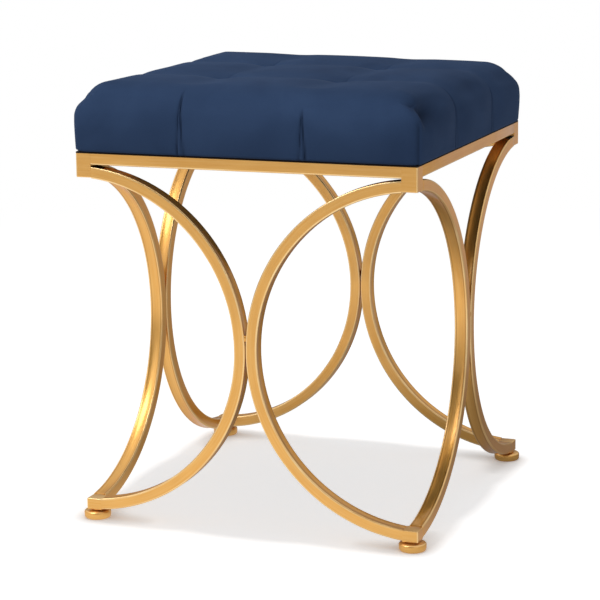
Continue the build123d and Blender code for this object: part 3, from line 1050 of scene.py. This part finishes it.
@dataclass
class TuftedSeat:
    """The tufted velvet seat with its foam, as one padded piece over the board."""

    finish: Finishes
    shoulder: float = 34 * MM        # width and height of the rounded shoulders
    seam: float = 67 * MM            # seams from the seat's middle
    hem_width: float = 28 * MM
    tuck: float = 3 * MM             # rounding where the cover turns under
    swell: float = 2.0 * MM          # room left for the puffs to swell under pressure
    board_gap: float = 0.15 * MM
    wall_squareness: tuple[float, ...] = (5.2, 6.8, 4.0, 5.0)   # upright corners: 2 is round, more is squarer
    brow_squareness: tuple[float, ...] = (1.66, 1.9, 1.08, 12.0)   # of each corner: filled by hand, not alike
    corner_fill: tuple[float, ...] = (0.0, -1.0 * MM, -4.5 * MM, 1.5 * MM)   # how much higher each corner is filled
    belly: float = 4.0 * MM          # puffs swell out between the shoulder and the hem
    belly_top: float = 0.9           # share of the height where the belly ends
    top_span: Span = (0.4, 0.95)     # shares of the height between which the walls turn into the top
    channel_depth: float = 1.6 * MM
    channel_fade: tuple[float, float] = (0.25, 1.1)   # share of a channel left at front and back, left and right
    channel_width: float = 17 * MM
    wall_channel: float = 0.05       # share of a channel left on the walls
    tuft_depth: float = 2.2 * MM
    tuft_width: float = 20 * MM
    crease_depth: float = 0.9 * MM   # sewn line at the bottom of a channel
    crease_width: float = 1.8 * MM
    crease_length: float = 30 * MM
    pleat_depth: float = 1.3 * MM    # less than the cover over the board's edge
    pleat_width: float = 0.9 * MM
    pleat_spread: float = 3.2 * MM   # half the width between a pleat's two folds at the hem
    pleat_lift: float = 0.5 * MM     # cloth between the two folds stands out
    pleat_start: float = 0.12        # share of the height over which a pleat deepens
    strip_share: float = 0.6         # cloth between the folds against their spread
    pleat_tops: tuple[float, float] = (0.93, 0.74)   # share of the height where a side's two pleats begin
    side_pleat: float = 0.4          # pleats of the left and right sides against those of front and back
    dimple_depth: tuple[float, ...] = (4.0 * MM, 11.0 * MM, 1.0 * MM, 1.5 * MM)   # tuck of the fold at each corner
    dimple_shade: tuple[float, ...] = (0.15, 0.8, 0.15, 0.15)   # and how dark its painted shade is
    dimple_size: tuple[float, float, float] = (11 * MM, 6 * MM, 36 * MM)   # round, towards the corner, along the side
    dimple_place: tuple[float, float, float] = (0.12, 0.55, 0.66)   # shoulders in from side and end, share of height
    fold_depth: float = 1.3 * MM     # folded cloth down each corner, from the tuck to the hem
    fold_width: float = 1.2 * MM
    fold_top: float = 0.6            # share of the height where it begins
    fold_start: float = 0.1          # and over which it deepens
    fold_shade: float = 0.3
    pleat_shade: float = 0.45
    wall_shade: float = 0.36         # painted shade, darker towards the hem of front and back
    top_shade: float = 0.16          # and painted shade over the top's right border
    line_gaps: tuple[float, float, float] = (5 * MM, 0.7 * MM, 2.4 * MM)   # in puffs, at seams and over shoulders
    line_samples: int = 4001
    wall_rows: int = 36
    tuck_rows: int = 6
    coarse_lines: int = 65
    coarse_rows: int = 13
    seam_hold: float = 0.85          # how firmly a seam holds the cloth
    hem_hold: Span = (1.7, 2.4)      # hold at the hem, and its fall over the height
    hold_levels: int = 20
    press: float = 4.0
    most_swell: float = 6 * MM
    frames: int = 20

    def __post_init__(self) -> None:
        """Reads the seat's sizes from the CAD boxes."""
        low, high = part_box("seat_cover")
        self.half = high.x
        self.base = low.z
        self.crown = high.z
        low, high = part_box("seat_board")
        self.board_half = high.x
        self.board_low = low.z
        self.board_high = high.z

    def build(self) -> None:
        """Builds the cushion: coarse net, cloth pressure, fine net with its seams, then the hem and board pocket."""
        fine = SeatSkin(self.fine_lines(), self.fine_rows())
        form, normal = self.form(fine)
        points = form + self.swollen(fine) - normal * self.sewn_in(form)[:, None]
        surface = self.closed(fine, points)
        under = len(surface.points) - len(points)
        # the tuck attribute: painted shade on the velvet, full on the hem and pocket underneath
        surface.values["tuck"] = np.concatenate([self.brushed(form), np.ones(under)])
        cushion = surface.build("tufted_cushion", self.finish.velvet, sharp_degrees=60.0)
        ride_as(cushion, "stool", "navy_velvet", "seat_cover", "foam_pad")

    def fine_lines(self) -> np.ndarray:
        """Lines across the seat, close together at the seams and over the shoulders.

        The spacing at x is wide in the puffs and falls off by bell curves; the lines stand at equal steps of the
        sum of 1 / spacing.
        """
        x = np.linspace(-1, 1, self.line_samples)
        seam = abs(abs(x) - self.seam / self.half) * self.half
        edge = (1 - abs(x)) * self.half
        wide, fine, brow = self.line_gaps
        spacing = wide - (wide - fine) * bell(seam, wide)
        spacing = spacing - (wide - brow) * bell(edge, self.shoulder)
        total = np.concatenate([[0.0], np.cumsum(1 / spacing[1:])])
        count = 2 * int(total[-1] * (x[1] - x[0]) * self.half / 2) + 1
        return np.interp(np.linspace(0, total[-1], count), total, x)

    def fine_rows(self) -> np.ndarray:
        """Rows down the walls: even over the shoulder and wall, then close round the tuck."""
        tall = self.crown - self.base
        bend = np.linspace(0, np.pi / 2, self.tuck_rows)
        tuck = 1 - self.tuck * (1 - np.sin(bend)) / tall
        return np.concatenate([np.linspace(0, tuck[0], self.wall_rows)[:-1], tuck])

    def form(self, skin: SeatSkin) -> tuple[np.ndarray, np.ndarray]:
        """The plain seat under the seams: a box with rounded shoulders.

        A point p of the box is split into its nearest point q of an inner box and the rest d, and becomes
        q + r d / |d|. In plan |d| takes a higher power than two, so the corners are squarer than the shoulders.

        Args:
            skin: the net.

        Returns:
            Points, and normals.
        """
        top, walls = skin.flat_points()
        flat = np.concatenate([top.reshape(-1, 3), walls.reshape(-1, 3)])
        tall = self.crown - self.swell - self.base
        reach = self.half - self.shoulder
        plan = flat[:, :2] * self.half
        inner = np.clip(plan, -reach, reach)
        d = np.concatenate([(plan - inner) / self.shoulder,
                            held((flat[:, 2:] * tall - tall + self.shoulder) / self.shoulder)], axis=1)
        brow = self.by_corner(flat, self.brow_squareness)
        wall = self.by_corner(flat, self.wall_squareness)
        power = wall + (brow - wall) * d[:, 2]
        across = (abs(d[:, 0]) ** power + abs(d[:, 1]) ** power) ** (1 / power)
        size = np.maximum(np.hypot(across, d[:, 2]), 1e-9)[:, None]
        lift = np.minimum(flat[:, 2] * tall, tall - self.shoulder)
        points = np.concatenate([inner, self.base + lift[:, None]], axis=1) + self.shoulder * d / size
        low = held(1 - (points[:, 2] - self.base) / self.tuck)
        draw = self.tuck * (1 - np.sqrt(1 - low**2)) / self.half
        points[:, :2] *= 1 - draw[:, None]
        for corner, fill in zip(Corner, self.corner_fill):
            share = held(points[:, :2] * corner.value / self.half).prod(axis=1)
            points[:, 2] += fill * share * held(d[:, 2])
        normal = d / np.linalg.norm(d, axis=1, keepdims=True)
        return points, normal

    def seam_gaps(self, points: np.ndarray) -> tuple[np.ndarray, np.ndarray]:
        """Distances in plan from the seams that run front to back and from those that run left to right."""
        return abs(abs(points[:, 0]) - self.seam), abs(abs(points[:, 1]) - self.seam)

    def sewn_in(self, points: np.ndarray) -> np.ndarray:
        """How far the sewing pulls the cover in at each point.

        Bell curves: wide channels along the seams that fade down the walls, tufts where seams cross with short creases
        out of them, a pair of narrow folds down each wall that part towards the hem, and a dimple at each upper corner.

        Args:
            points: the plain form.

        Returns:
            Depths along the inward normal.
        """
        gap_x, gap_y = self.seam_gaps(points)
        height = self.height_share(points)
        on_top = held((height - self.top_span[0]) / (self.top_span[1] - self.top_span[0]))
        inner = held((self.half - abs(points[:, 1::-1])) / (2 * self.shoulder) - 0.2)
        fade = np.array(self.channel_fade) * (1 - inner) + inner
        channel = (bell(gap_x, self.channel_width) * fade[:, 0]
                   + bell(gap_y, self.channel_width) * fade[:, 1])
        tuft = bell(np.hypot(gap_x, gap_y), self.tuft_width)
        near = bell(np.hypot(gap_x, gap_y), self.crease_length)
        crease = bell(np.minimum(gap_x, gap_y), self.crease_width) * near
        left = self.wall_channel + (1 - self.wall_channel) * on_top
        depth = self.channel_depth * channel * left
        depth = depth + (self.tuft_depth * tuft + self.crease_depth * crease) * on_top
        puff = 1 - bell(np.minimum(gap_x, gap_y), 1.5 * self.channel_width)
        corner = held((self.half - abs(points[:, :2]).min(axis=1)) / self.shoulder)
        depth = depth - self.belly * puff * corner * np.sin(np.pi * held(height / self.belly_top)) * (1 - on_top)
        depth = depth + self.pleated(gap_x, points[:, 0], height)
        depth = depth + self.side_pleat * self.pleated(gap_y, points[:, 1], height)

        tucked = self.by_corner(points, self.dimple_depth) * self.hollow(points)
        return depth + tucked + self.fold_depth * self.folded(points)

    def by_corner(self, points: np.ndarray, values: tuple[float, ...]) -> np.ndarray:
        """One value for each corner of the seat, as values at the points."""
        return np.select([np.all(points[:, :2] * corner.value >= 0, axis=1) for corner in Corner], values)

    def height_share(self, points: np.ndarray) -> np.ndarray:
        """Height of the points as a share of the seat's height."""
        return held((points[:, 2] - self.base) / (self.crown - self.base))

    def hollow(self, points: np.ndarray) -> np.ndarray:
        """Bell curve of the tuck behind each upper corner, on the left and right sides, sharper towards the corner."""
        round_it, to_corner, along = self.dimple_size
        in_side, in_end, level = self.dimple_place
        behind = abs(points[:, 1]) - self.half + in_end * self.shoulder
        away = np.stack([(abs(points[:, 0]) - self.half + in_side * self.shoulder) / round_it,
                         behind / np.where(behind > 0, to_corner, along),
                         (self.height_share(points) - level) * (self.crown - self.base) / round_it])
        return np.exp(-(away**2).sum(axis=0))

    def folded(self, points: np.ndarray) -> np.ndarray:
        """Bell curve of the folded cloth down each upright corner, below the tuck."""
        edge = self.half - abs(points[:, :2]).max(axis=1)
        off_fold = (abs(points[:, 0]) - abs(points[:, 1])) / math.sqrt(2) - self.fold_width
        below = held((self.fold_top - self.height_share(points)) / self.fold_start)
        return bell(off_fold, self.fold_width) * (edge < 0.5 * self.shoulder) * below

    def brushed(self, points: np.ndarray) -> np.ndarray:
        """Painted shade on the velvet: darker in tucks, pleats and folds, towards the hem of front and back, and to the
        right on top.

        Args:
            points: the plain form.

        Returns:
            Shares from 0 to 1.
        """
        gap_x, gap_y = self.seam_gaps(points)
        height = self.height_share(points)
        pleat = self.pleated(gap_x, points[:, 0], height) + self.pleated(gap_y, points[:, 1], height)
        facing = held((abs(points[:, 1]) - abs(points[:, 0])) / (10 * MM) + 0.5)
        shade = self.wall_shade * facing * held(1 - height / self.belly_top)
        shade = shade + self.top_shade * held(points[:, 0] / self.half) * held(height / 0.2 - 4)
        shade = shade + self.pleat_shade * held(pleat / self.pleat_depth)
        shade = shade + self.fold_shade * self.folded(points)
        return held(shade + self.by_corner(points, self.dimple_shade) * self.hollow(points))

    def pleated(self, gap: np.ndarray, across: np.ndarray, height: np.ndarray) -> np.ndarray:
        """Depth of the pleats at the ends of two seams.

        Two narrow bell curves that part from the pleat's top down to the hem, with a low one outwards between them.

        Args:
            gap: distance from the nearer of the two seams.
            across: place across the two seams, negative at the first.
            height: share of the seat's height.

        Returns:
            Depths along the inward normal.
        """
        top = np.where(across < 0, *self.pleat_tops)
        down = held((top - height) / self.pleat_start)
        spread = self.pleat_spread * held((top - height) / top)
        fold = bell(gap - spread, self.pleat_width)
        strip = bell(gap, np.maximum(self.strip_share * spread, 0.1 * MM))
        return (self.pleat_depth * fold - self.pleat_lift * strip) * down

    def swollen(self, fine: SeatSkin) -> np.ndarray:
        """Swelling of the puffs, from cloth under pressure held at its hem and seams.

        The cloth is a coarse net of the same form. Its movement is carried to the fine net by B-spline weights along
        the two directions of the top, and along the rows and the loop of the walls.

        Args:
            fine: the net that needs the swelling.

        Returns:
            A movement for each point.
        """
        rows = np.linspace(0, 1, self.coarse_rows)
        coarse = SeatSkin(np.linspace(-1, 1, self.coarse_lines), rows)
        moved = self.pressed(coarse)
        split = coarse.count**2
        top = moved[:split].reshape(coarse.count, coarse.count, 3)
        loops = np.concatenate([border(top)[None], moved[split:].reshape(-1, coarse.around, 3)])
        across = spline_weights(fine.lines, coarse.lines)
        fine_top = np.einsum("ia,jb,abk->ijk", across, across, top, optimize=True)
        down = spline_weights(fine.rows, rows)
        step = np.arange(coarse.around) * 4 / coarse.around
        round_it = spline_weights(fine.loop_places(), step, 4.0)
        walls = np.einsum("ra,sb,abk->rsk", down, round_it, loops, optimize=True)
        jump = border(fine_top) - walls[0]
        walls = walls + jump[None] * ((1 - fine.rows) ** 6)[:, None, None]
        return np.concatenate([fine_top.reshape(-1, 3), walls[1:].reshape(-1, 3)])

    def hold(self, rest: np.ndarray) -> np.ndarray:
        """How firmly each point is held, from 0 in the middle of a puff to 1 at the hem."""
        gap = np.minimum(*self.seam_gaps(rest))
        firm, fall = self.hem_hold
        low = held(firm - fall * (rest[:, 2] - self.base) / (self.crown - self.base))
        return np.maximum(self.seam_hold * bell(gap, self.channel_width), low)

    def pressed(self, skin: SeatSkin) -> np.ndarray:
        """Runs the cloth on a coarse net and returns how far each point moved.

        Args:
            skin: the coarse net.

        Returns:
            A movement for each point, no longer than the most swelling.
        """
        rest, _ = self.form(skin)
        mesh = bpy.data.meshes.new("cloth_net")
        mesh.from_pydata(rest.tolist(), [], skin.faces().tolist())
        cloth = bpy.data.objects.new("cloth_net", mesh)
        bpy.context.scene.collection.objects.link(cloth)
        group = cloth.vertex_groups.new(name="held")
        levels = np.round(self.hold(rest) * self.hold_levels).astype(int)
        for level in range(1, self.hold_levels + 1):
            group.add(np.flatnonzero(levels == level).tolist(), level / self.hold_levels, "REPLACE")
        settings = cloth.modifiers.new("Cloth", "CLOTH").settings
        for name, value in (VELVET_CLOTH | {"uniform_pressure_force": self.press}).items():
            setattr(settings, name, value)
        settings.effector_weights.gravity = 0
        settings.vertex_group_mass = "held"
        scene = bpy.context.scene
        for frame in range(1, self.frames + 1):
            scene.frame_set(frame)
        shape = cloth.evaluated_get(bpy.context.evaluated_depsgraph_get()).to_mesh()
        end = np.empty(rest.size, np.float32)
        shape.vertices.foreach_get("co", end)
        scene.frame_set(1)
        bpy.data.objects.remove(cloth)
        bpy.data.meshes.remove(mesh)
        moved = end.reshape(-1, 3) - rest
        length = np.linalg.norm(moved, axis=1, keepdims=True)
        LOG.info("cloth: puffs moved %.1f mm at most, %.1f mm on average", length.max() / MM, length.mean() / MM)
        return moved * np.minimum(1, self.most_swell / np.maximum(length, 1e-9))

    def closed(self, skin: SeatSkin, points: np.ndarray) -> Surface:
        """Closes the skin below: hem under the board, then a pocket that the board fits.

        The rings below the wall are its last ring drawn to other half widths and heights.

        Args:
            skin: the fine net.
            points: its finished points.

        Returns:
            The whole closed surface.
        """
        last = points[-skin.around:]
        plan = last[:, :2] / abs(last[:, :2]).max()
        hem = self.half - self.hem_width
        pocket = self.board_half + self.board_gap
        floor, roof = self.board_low - self.board_gap, self.board_high + self.board_gap
        drawn = np.array([(0.5 * (self.half + hem), self.base), (hem, self.base), (hem, floor), (pocket, floor),
                          (pocket, roof), (hem, roof)])
        rings = np.concatenate([drawn[:, :1, None] * plan[None],
                                np.broadcast_to(drawn[:, 1:, None], (len(drawn), len(plan), 1))], axis=2)
        start = len(points) - skin.around
        under = start + grid_quads(len(drawn) + 1, skin.around, wrap_columns=True)
        cap = len(points) + (len(drawn) - 1) * skin.around + np.arange(skin.around)[None]
        return Surface(np.concatenate([points, rings.reshape(-1, 3)]), [np.concatenate([skin.faces(), under]), cap])


@dataclass
class DustCloth:
    """The black cloth stapled under the seat, a little slack in the middle."""

    finish: Finishes
    lines: int = 61
    slack: float = 2.5 * MM
    thickness: float = 0.6 * MM
    gap: float = 0.05 * MM           # under what it is stapled to
    corner_cut: float = 4 * MM

    def build(self) -> None:
        """Builds the sheet: z sags by slack (1 - u^2)^2 (1 - v^2)^2 on a square grid, with its corners cut off."""
        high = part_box("dust_cover")[1]
        half = high.x
        u, v = np.meshgrid(np.linspace(-1, 1, self.lines), np.linspace(-1, 1, self.lines), indexing="ij")
        sag = self.slack * ((1 - u**2) * (1 - v**2)) ** 2
        over = np.clip(half * (abs(u) + abs(v)) - 2 * half + self.corner_cut, 0, None) / 2
        x, y = u * half - np.sign(u) * over, v * half - np.sign(v) * over
        upper = np.stack([x, y, high.z - self.gap - sag], axis=-1)
        lower = upper - np.array([0, 0, self.thickness])
        quads = grid_quads(self.lines, self.lines)
        numbers = np.arange(self.lines**2).reshape(self.lines, self.lines)
        rim = border(numbers)
        beyond = np.roll(rim, -1)
        side = np.stack([rim, beyond, beyond + self.lines**2, rim + self.lines**2], axis=-1)
        faces = np.concatenate([quads, quads[:, ::-1] + self.lines**2, side])
        points = np.concatenate([upper.reshape(-1, 3), lower.reshape(-1, 3)])
        cloth = Surface(points, [faces]).build("dust_cloth", self.finish.dust_cloth)
        ride_as(cloth, "stool", "dust_cloth", "dust_cover")


@dataclass(frozen=True)
class Lamp:
    """A square soft lamp that faces the seat, and lights either all but the floor or the floor alone."""

    name: str
    place: tuple[float, float, float]
    size: float                # side in metres
    power: float               # watts
    floor_alone: bool = False
    mirrored: bool = True      # whether the metal shows it
    spreads: bool = True       # whether it lights what is dull

    def build(self, aim_height: float, floor: bpy.types.Object) -> None:
        """Hangs the lamp.

        Args:
            aim_height: height of the point that it faces, on the part's axis.
            floor: the floor that it leaves out, or lights alone.
        """
        data = bpy.data.lights.new(self.name, "AREA")
        data.shape, data.size, data.energy = "SQUARE", self.size, self.power
        lamp = bpy.data.objects.new(self.name, data)
        lamp.location = self.place
        aim = np.array([0.0, 0.0, aim_height]) - np.array(self.place)
        lamp.rotation_euler = (math.atan2(math.hypot(aim[0], aim[1]), -aim[2]), 0.0, math.atan2(-aim[0], aim[1]))
        lamp.visible_glossy, lamp.visible_diffuse = self.mirrored, self.spreads
        bpy.context.scene.collection.objects.link(lamp)
        group = bpy.data.collections.new(self.name + "_lights")
        group.objects.link(floor)
        group.collection_objects[0].light_linking.link_state = "INCLUDE" if self.floor_alone else "EXCLUDE"
        lamp.light_linking.receiver_collection = group


@dataclass
class Studio:
    """Plain white floor, soft lamps and the camera at the photograph's angle."""

    azimuth: float = 20.7516          # degrees, the camera stands to the right of the front
    elevation: float = 11.8299
    roll: float = -0.6546
    distance: float = 2.4569
    aim_height: float = 0.2156
    focal_pixels: float = 2207.9
    middle_x: float = 308.6          # pixels, where the lens axis meets the picture
    middle_y: float = 300.0
    sensor: float = 36.0
    lamps: tuple[Lamp, ...] = (
        Lamp("key", (-1.2, -2.2, 2.2), 2.6, 66.0, mirrored=False),   # the metal shows the bright wall behind it
        Lamp("softbox", (-0.6, -0.6, 1.17), 0.5, 4.5, spreads=False),   # only draws the highlights on the tubes
        Lamp("fill", (2.2, -1.6, 1.3), 1.6, 3.0),
        Lamp("top", (0.0, 0.0, 12.0), 0.4, 352.0, floor_alone=True))
    paper: str = "#F8F8F8"
    floor_half: float = 6.0
    lit_span: Span = (0.9, 2.0)      # the floor shows its own light up to here, and is plain white from there on
    floor_lift: float = 0.54         # light that brings the paper up to white outside the shadow
    crevice: float = 25 * MM         # how near a foot the floor's glow is taken down: a painted contact shadow
    floor_way: tuple[float, float, float] = (-0.5, -0.86, 0.0)   # from behind to the front, in what the metal mirrors
    floor_way_span: Span = (-2.0, 2.0)
    floor_levels: tuple[Span, ...] = ((0.0, 0.75), (0.33, 0.5), (0.58, 1.28), (0.76, 1.28), (1.0, 1.0))
    dim_place: tuple[float, float, float] = (0.25, 0.2, 0.0)   # painted shade in the floor's reflection, behind the right legs
    dim_span: Span = (0.18, 0.5)
    dim_level: float = 0.48
    shade_span: Span = (0.10, 0.24)   # half widths between which the shade under the part ends
    shade_level: float = 0.5
    flag_sides: Span = (-0.42, 0.6)   # the dark card's left and right edges
    flag_levels: Span = (0.4, 1.25)   # and its lower and upper ones
    flag_front: float = -0.9
    flag_glow: float = 0.1
    bright_side: tuple[float, float, float] = (-0.55, -0.6, 0.58)
    wall_levels: Span = (0.7, 1.15)   # walls away from the bright side, and on it
    peak_span: Span = (0.82, 1.0)     # near the bright side's middle there is a brighter patch
    peak_level: float = 0.2
    skirt_span: Span = (0.08, 0.34)   # heights between which the walls' dark skirt ends
    skirt_level: float = 0.5
    card_way: tuple[float, float, float] = (-0.35, 0.93, 0.1)   # towards the grey card behind
    card_span: Span = (0.8, 0.97)
    card_level: float = 0.6
    surround: str = "#F2F4F8"
    surround_level: float = 0.4

    def build(self) -> None:
        """Builds floor, card, world, lamps and camera."""
        floor = self.build_floor()
        self.build_flag()
        self.build_world()
        for lamp in self.lamps:
            lamp.build(self.aim_height, floor)
        self.build_camera()
        bpy.context.scene.view_settings.view_transform = "Standard"

    def add_sheet(self, name: str, corners: list[tuple], material: bpy.types.Material) -> bpy.types.Object:
        """Adds a flat sheet to the studio.

        Args:
            name: the sheet's name.
            corners: its four corners, anticlockwise from the side that shows.
            material: its material.

        Returns:
            The sheet.
        """
        mesh = bpy.data.meshes.new(name)
        mesh.from_pydata(corners, [], [(0, 1, 2, 3)])
        mesh.materials.append(material)
        sheet = bpy.data.objects.new(name, mesh)
        bpy.context.scene.collection.objects.link(sheet)
        return sheet

    def mirrored_floor(self, tree: bpy.types.NodeTree, place: bpy.types.NodeSocket) -> bpy.types.Node:
        """How bright the metal sees the floor, a painted reflection: brightest in front, darker behind, with painted
        shade under the part and by the right legs.

        Args:
            tree: the floor's tree.
            place: the point on the floor.

        Returns:
            The node.
        """
        towards = add_node(tree, "VectorMath", {"operation": "DOT_PRODUCT", 0: place, 1: self.floor_way})
        along = add_node(tree, "MapRange", {
            "From Min": self.floor_way_span[0], "From Max": self.floor_way_span[1], "Value": towards})
        ramp = add_node(tree, "ValToRGB", {0: along})
        ramp.color_ramp.interpolation = "EASE"
        stops = ramp.color_ramp.elements
        for at, _ in self.floor_levels[1:-1]:
            stops.new(at)
        for stop, (_, level) in zip(stops, self.floor_levels):
            stop.color = (level, level, level, 1.0)
        behind = add_node(tree, "VectorMath", {"operation": "DISTANCE", 0: place, 1: self.dim_place})
        dim = add_node(tree, "MapRange", {
            **EASED, "From Min": self.dim_span[0], "From Max": self.dim_span[1], "To Min": self.dim_level,
            "Value": behind})
        size = add_node(tree, "VectorMath", {"operation": "ABSOLUTE", 0: place})
        sides = add_node(tree, "SeparateXYZ", {0: size}).outputs
        reach = add_node(tree, "Math", {"operation": "MAXIMUM", 0: sides["X"], 1: sides["Y"]})
        shade = add_node(tree, "MapRange", {
            **EASED, "From Min": self.shade_span[0], "From Max": self.shade_span[1], "To Min": self.shade_level,
            "Value": reach})
        dimmed = add_node(tree, "Math", {"operation": "MULTIPLY", 0: dim, 1: shade})
        return add_node(tree, "Math", {"operation": "MULTIPLY", 0: ramp, 1: dimmed})

    def build_floor(self) -> bpy.types.Object:
        """A white floor that keeps the shadow near the part, fades to plain white, and is clear from below.

        Returns:
            The floor.
        """
        material, tree = new_tree("white_floor")
        place = add_node(tree, "TexCoord").outputs["Object"]
        ray = add_node(tree, "LightPath").outputs
        seen = ray["Is Camera Ray"]
        away = add_node(tree, "VectorMath", {"operation": "LENGTH", 0: place})
        fade = add_node(tree, "MapRange", {
            **EASED, "From Min": self.lit_span[0], "From Max": self.lit_span[1], "Value": away})
        wide = add_node(tree, "Math", {"operation": "MULTIPLY", 0: fade, 1: seen})
        mirror = add_node(tree, "Math", {
            "operation": "MAXIMUM", 0: ray["Is Glossy Ray"], 1: ray["Is Transmission Ray"]})
        plain = add_node(tree, "Math", {"operation": "MAXIMUM", 0: wide, 1: mirror})
        # the glow fades near the feet: a painted contact shadow
        crevice = add_node(tree, "AmbientOcclusion", {"Distance": self.crevice, "samples": 8}).outputs["AO"]
        open_share = add_node(tree, "Math", {"operation": "MULTIPLY", 0: crevice, 1: self.floor_lift})
        lift = add_node(tree, "Math", {"operation": "MULTIPLY", 0: seen, 1: open_share})
        paper = add_node(tree, "BsdfDiffuse", {"Color": linear(self.paper)})
        glow = add_node(tree, "Emission", {"Strength": lift})
        lit = add_node(tree, "AddShader", {0: paper, 1: glow})
        far = add_node(tree, "Math", {"operation": "MAXIMUM", 0: self.mirrored_floor(tree, place), 1: seen})
        white = add_node(tree, "Emission", {"Strength": far})
        above = add_node(tree, "MixShader", {0: plain, 1: lit, 2: white})
        clear = add_node(tree, "BsdfTransparent")
        below = add_node(tree, "NewGeometry").outputs["Backfacing"]
        shown = add_node(tree, "MixShader", {0: below, 1: above, 2: clear})
        add_node(tree, "OutputMaterial", {"Surface": shown})
        reach = self.floor_half
        corners = [(-reach, -reach, 0), (reach, -reach, 0), (reach, reach, 0), (-reach, reach, 0)]
        return self.add_sheet("floor", corners, material)

    def build_flag(self) -> None:
        """A dark card in front that only the metal mirrors, so the right legs turn dark where the left ones shine."""
        (left, right), (low, high), front = self.flag_sides, self.flag_levels, self.flag_front
        material, tree = new_tree("dark_card")
        card = add_node(tree, "Emission", {"Strength": self.flag_glow})
        add_node(tree, "OutputMaterial", {"Surface": card})
        corners = [(left, front, low), (right, front, low), (right, front, high), (left, front, high)]
        flag = self.add_sheet("flag", corners, material)
        flag.visible_camera = flag.visible_diffuse = flag.visible_shadow = False
        flag.visible_transmission = flag.visible_volume_scatter = False

    def build_world(self) -> None:
        """A white surround for the eye, a soft light, and for reflections walls with a dark skirt and a card behind."""
        world = bpy.data.worlds.new("studio")
        world.use_nodes = True
        tree = world.node_tree
        tree.nodes.clear()
        ray = add_node(tree, "LightPath").outputs
        mirror = add_node(tree, "Math", {
            "operation": "MAXIMUM", 0: ray["Is Glossy Ray"], 1: ray["Is Transmission Ray"]})
        way = add_node(tree, "TexCoord").outputs["Generated"]
        facing = add_node(tree, "VectorMath", {"operation": "DOT_PRODUCT", 0: way, 1: self.bright_side})
        slope = add_node(tree, "MapRange", {
            "From Min": -1.0, "To Min": self.wall_levels[0], "To Max": self.wall_levels[1], "Value": facing})
        peak = add_node(tree, "MapRange", {
            **EASED, "From Min": self.peak_span[0], "From Max": self.peak_span[1], "To Max": self.peak_level,
            "Value": facing})
        bright = add_node(tree, "Math", {"operation": "ADD", 0: slope, 1: peak})
        height = add_node(tree, "SeparateXYZ", {0: way}).outputs["Z"]
        skirt = add_node(tree, "MapRange", {
            **EASED, "From Min": self.skirt_span[0], "From Max": self.skirt_span[1], "To Min": self.skirt_level,
            "Value": height})
        lit = add_node(tree, "Math", {"operation": "MULTIPLY", 0: bright, 1: skirt})
        back = add_node(tree, "VectorMath", {"operation": "DOT_PRODUCT", 0: way, 1: self.card_way})
        card = add_node(tree, "MapRange", {
            **EASED, "From Min": self.card_span[0], "From Max": self.card_span[1], "To Min": 1.0,
            "To Max": self.card_level, "Value": back})
        wall = add_node(tree, "Math", {"operation": "MULTIPLY", 0: lit, 1: card})
        soft = add_node(tree, "Background", {"Color": linear(self.surround), "Strength": self.surround_level})
        walls = add_node(tree, "Background", {"Color": linear("#FFFFFF"), "Strength": wall})
        white = add_node(tree, "Background", {"Color": linear("#FFFFFF"), "Strength": 1.0})
        light = add_node(tree, "MixShader", {0: mirror, 1: soft, 2: walls})
        shown = add_node(tree, "MixShader", {0: ray["Is Camera Ray"], 1: light, 2: white})
        add_node(tree, "OutputWorld", {"Surface": shown})
        bpy.context.scene.world = world

    def build_camera(self) -> None:
        """The camera: turned about the aim point by azimuth, elevation and roll, with a long lens."""
        data = bpy.data.cameras.new("camera")
        data.sensor_width = self.sensor
        data.lens = self.focal_pixels / IMAGE_SIZE * self.sensor
        data.shift_x = (IMAGE_SIZE / 2 - self.middle_x) / IMAGE_SIZE
        data.shift_y = (self.middle_y - IMAGE_SIZE / 2) / IMAGE_SIZE
        camera = bpy.data.objects.new("camera", data)
        a, e = math.radians(self.azimuth), math.radians(self.elevation)
        back = np.array([math.sin(a) * math.cos(e), -math.cos(a) * math.cos(e), math.sin(e)])
        camera.location = np.array([0.0, 0.0, self.aim_height]) + self.distance * back
        camera.rotation_mode = "XYZ"
        camera.rotation_euler = (math.pi / 2 - e, 0.0, a)
        camera.rotation_euler.rotate_axis("Z", math.radians(self.roll))
        bpy.context.scene.collection.objects.link(camera)
        bpy.context.scene.camera = camera


def corners(box: tuple) -> list[list[float]]:
    """A box's two corners as plain lists."""
    return [[float(x) for x in corner] for corner in box]


def main() -> None:
    """Loads the frame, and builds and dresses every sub-assembly."""
    logging.basicConfig(level=logging.INFO, format="%(name)s %(message)s")
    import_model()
    finish = Finishes.mixed()
    for assembly in (TubeFrame(finish), Glides(finish), Fixings(finish), TuftedSeat(finish), DustCloth(finish)):
        assembly.build()
    Studio().build()


if __name__ == "__main__":
    main()
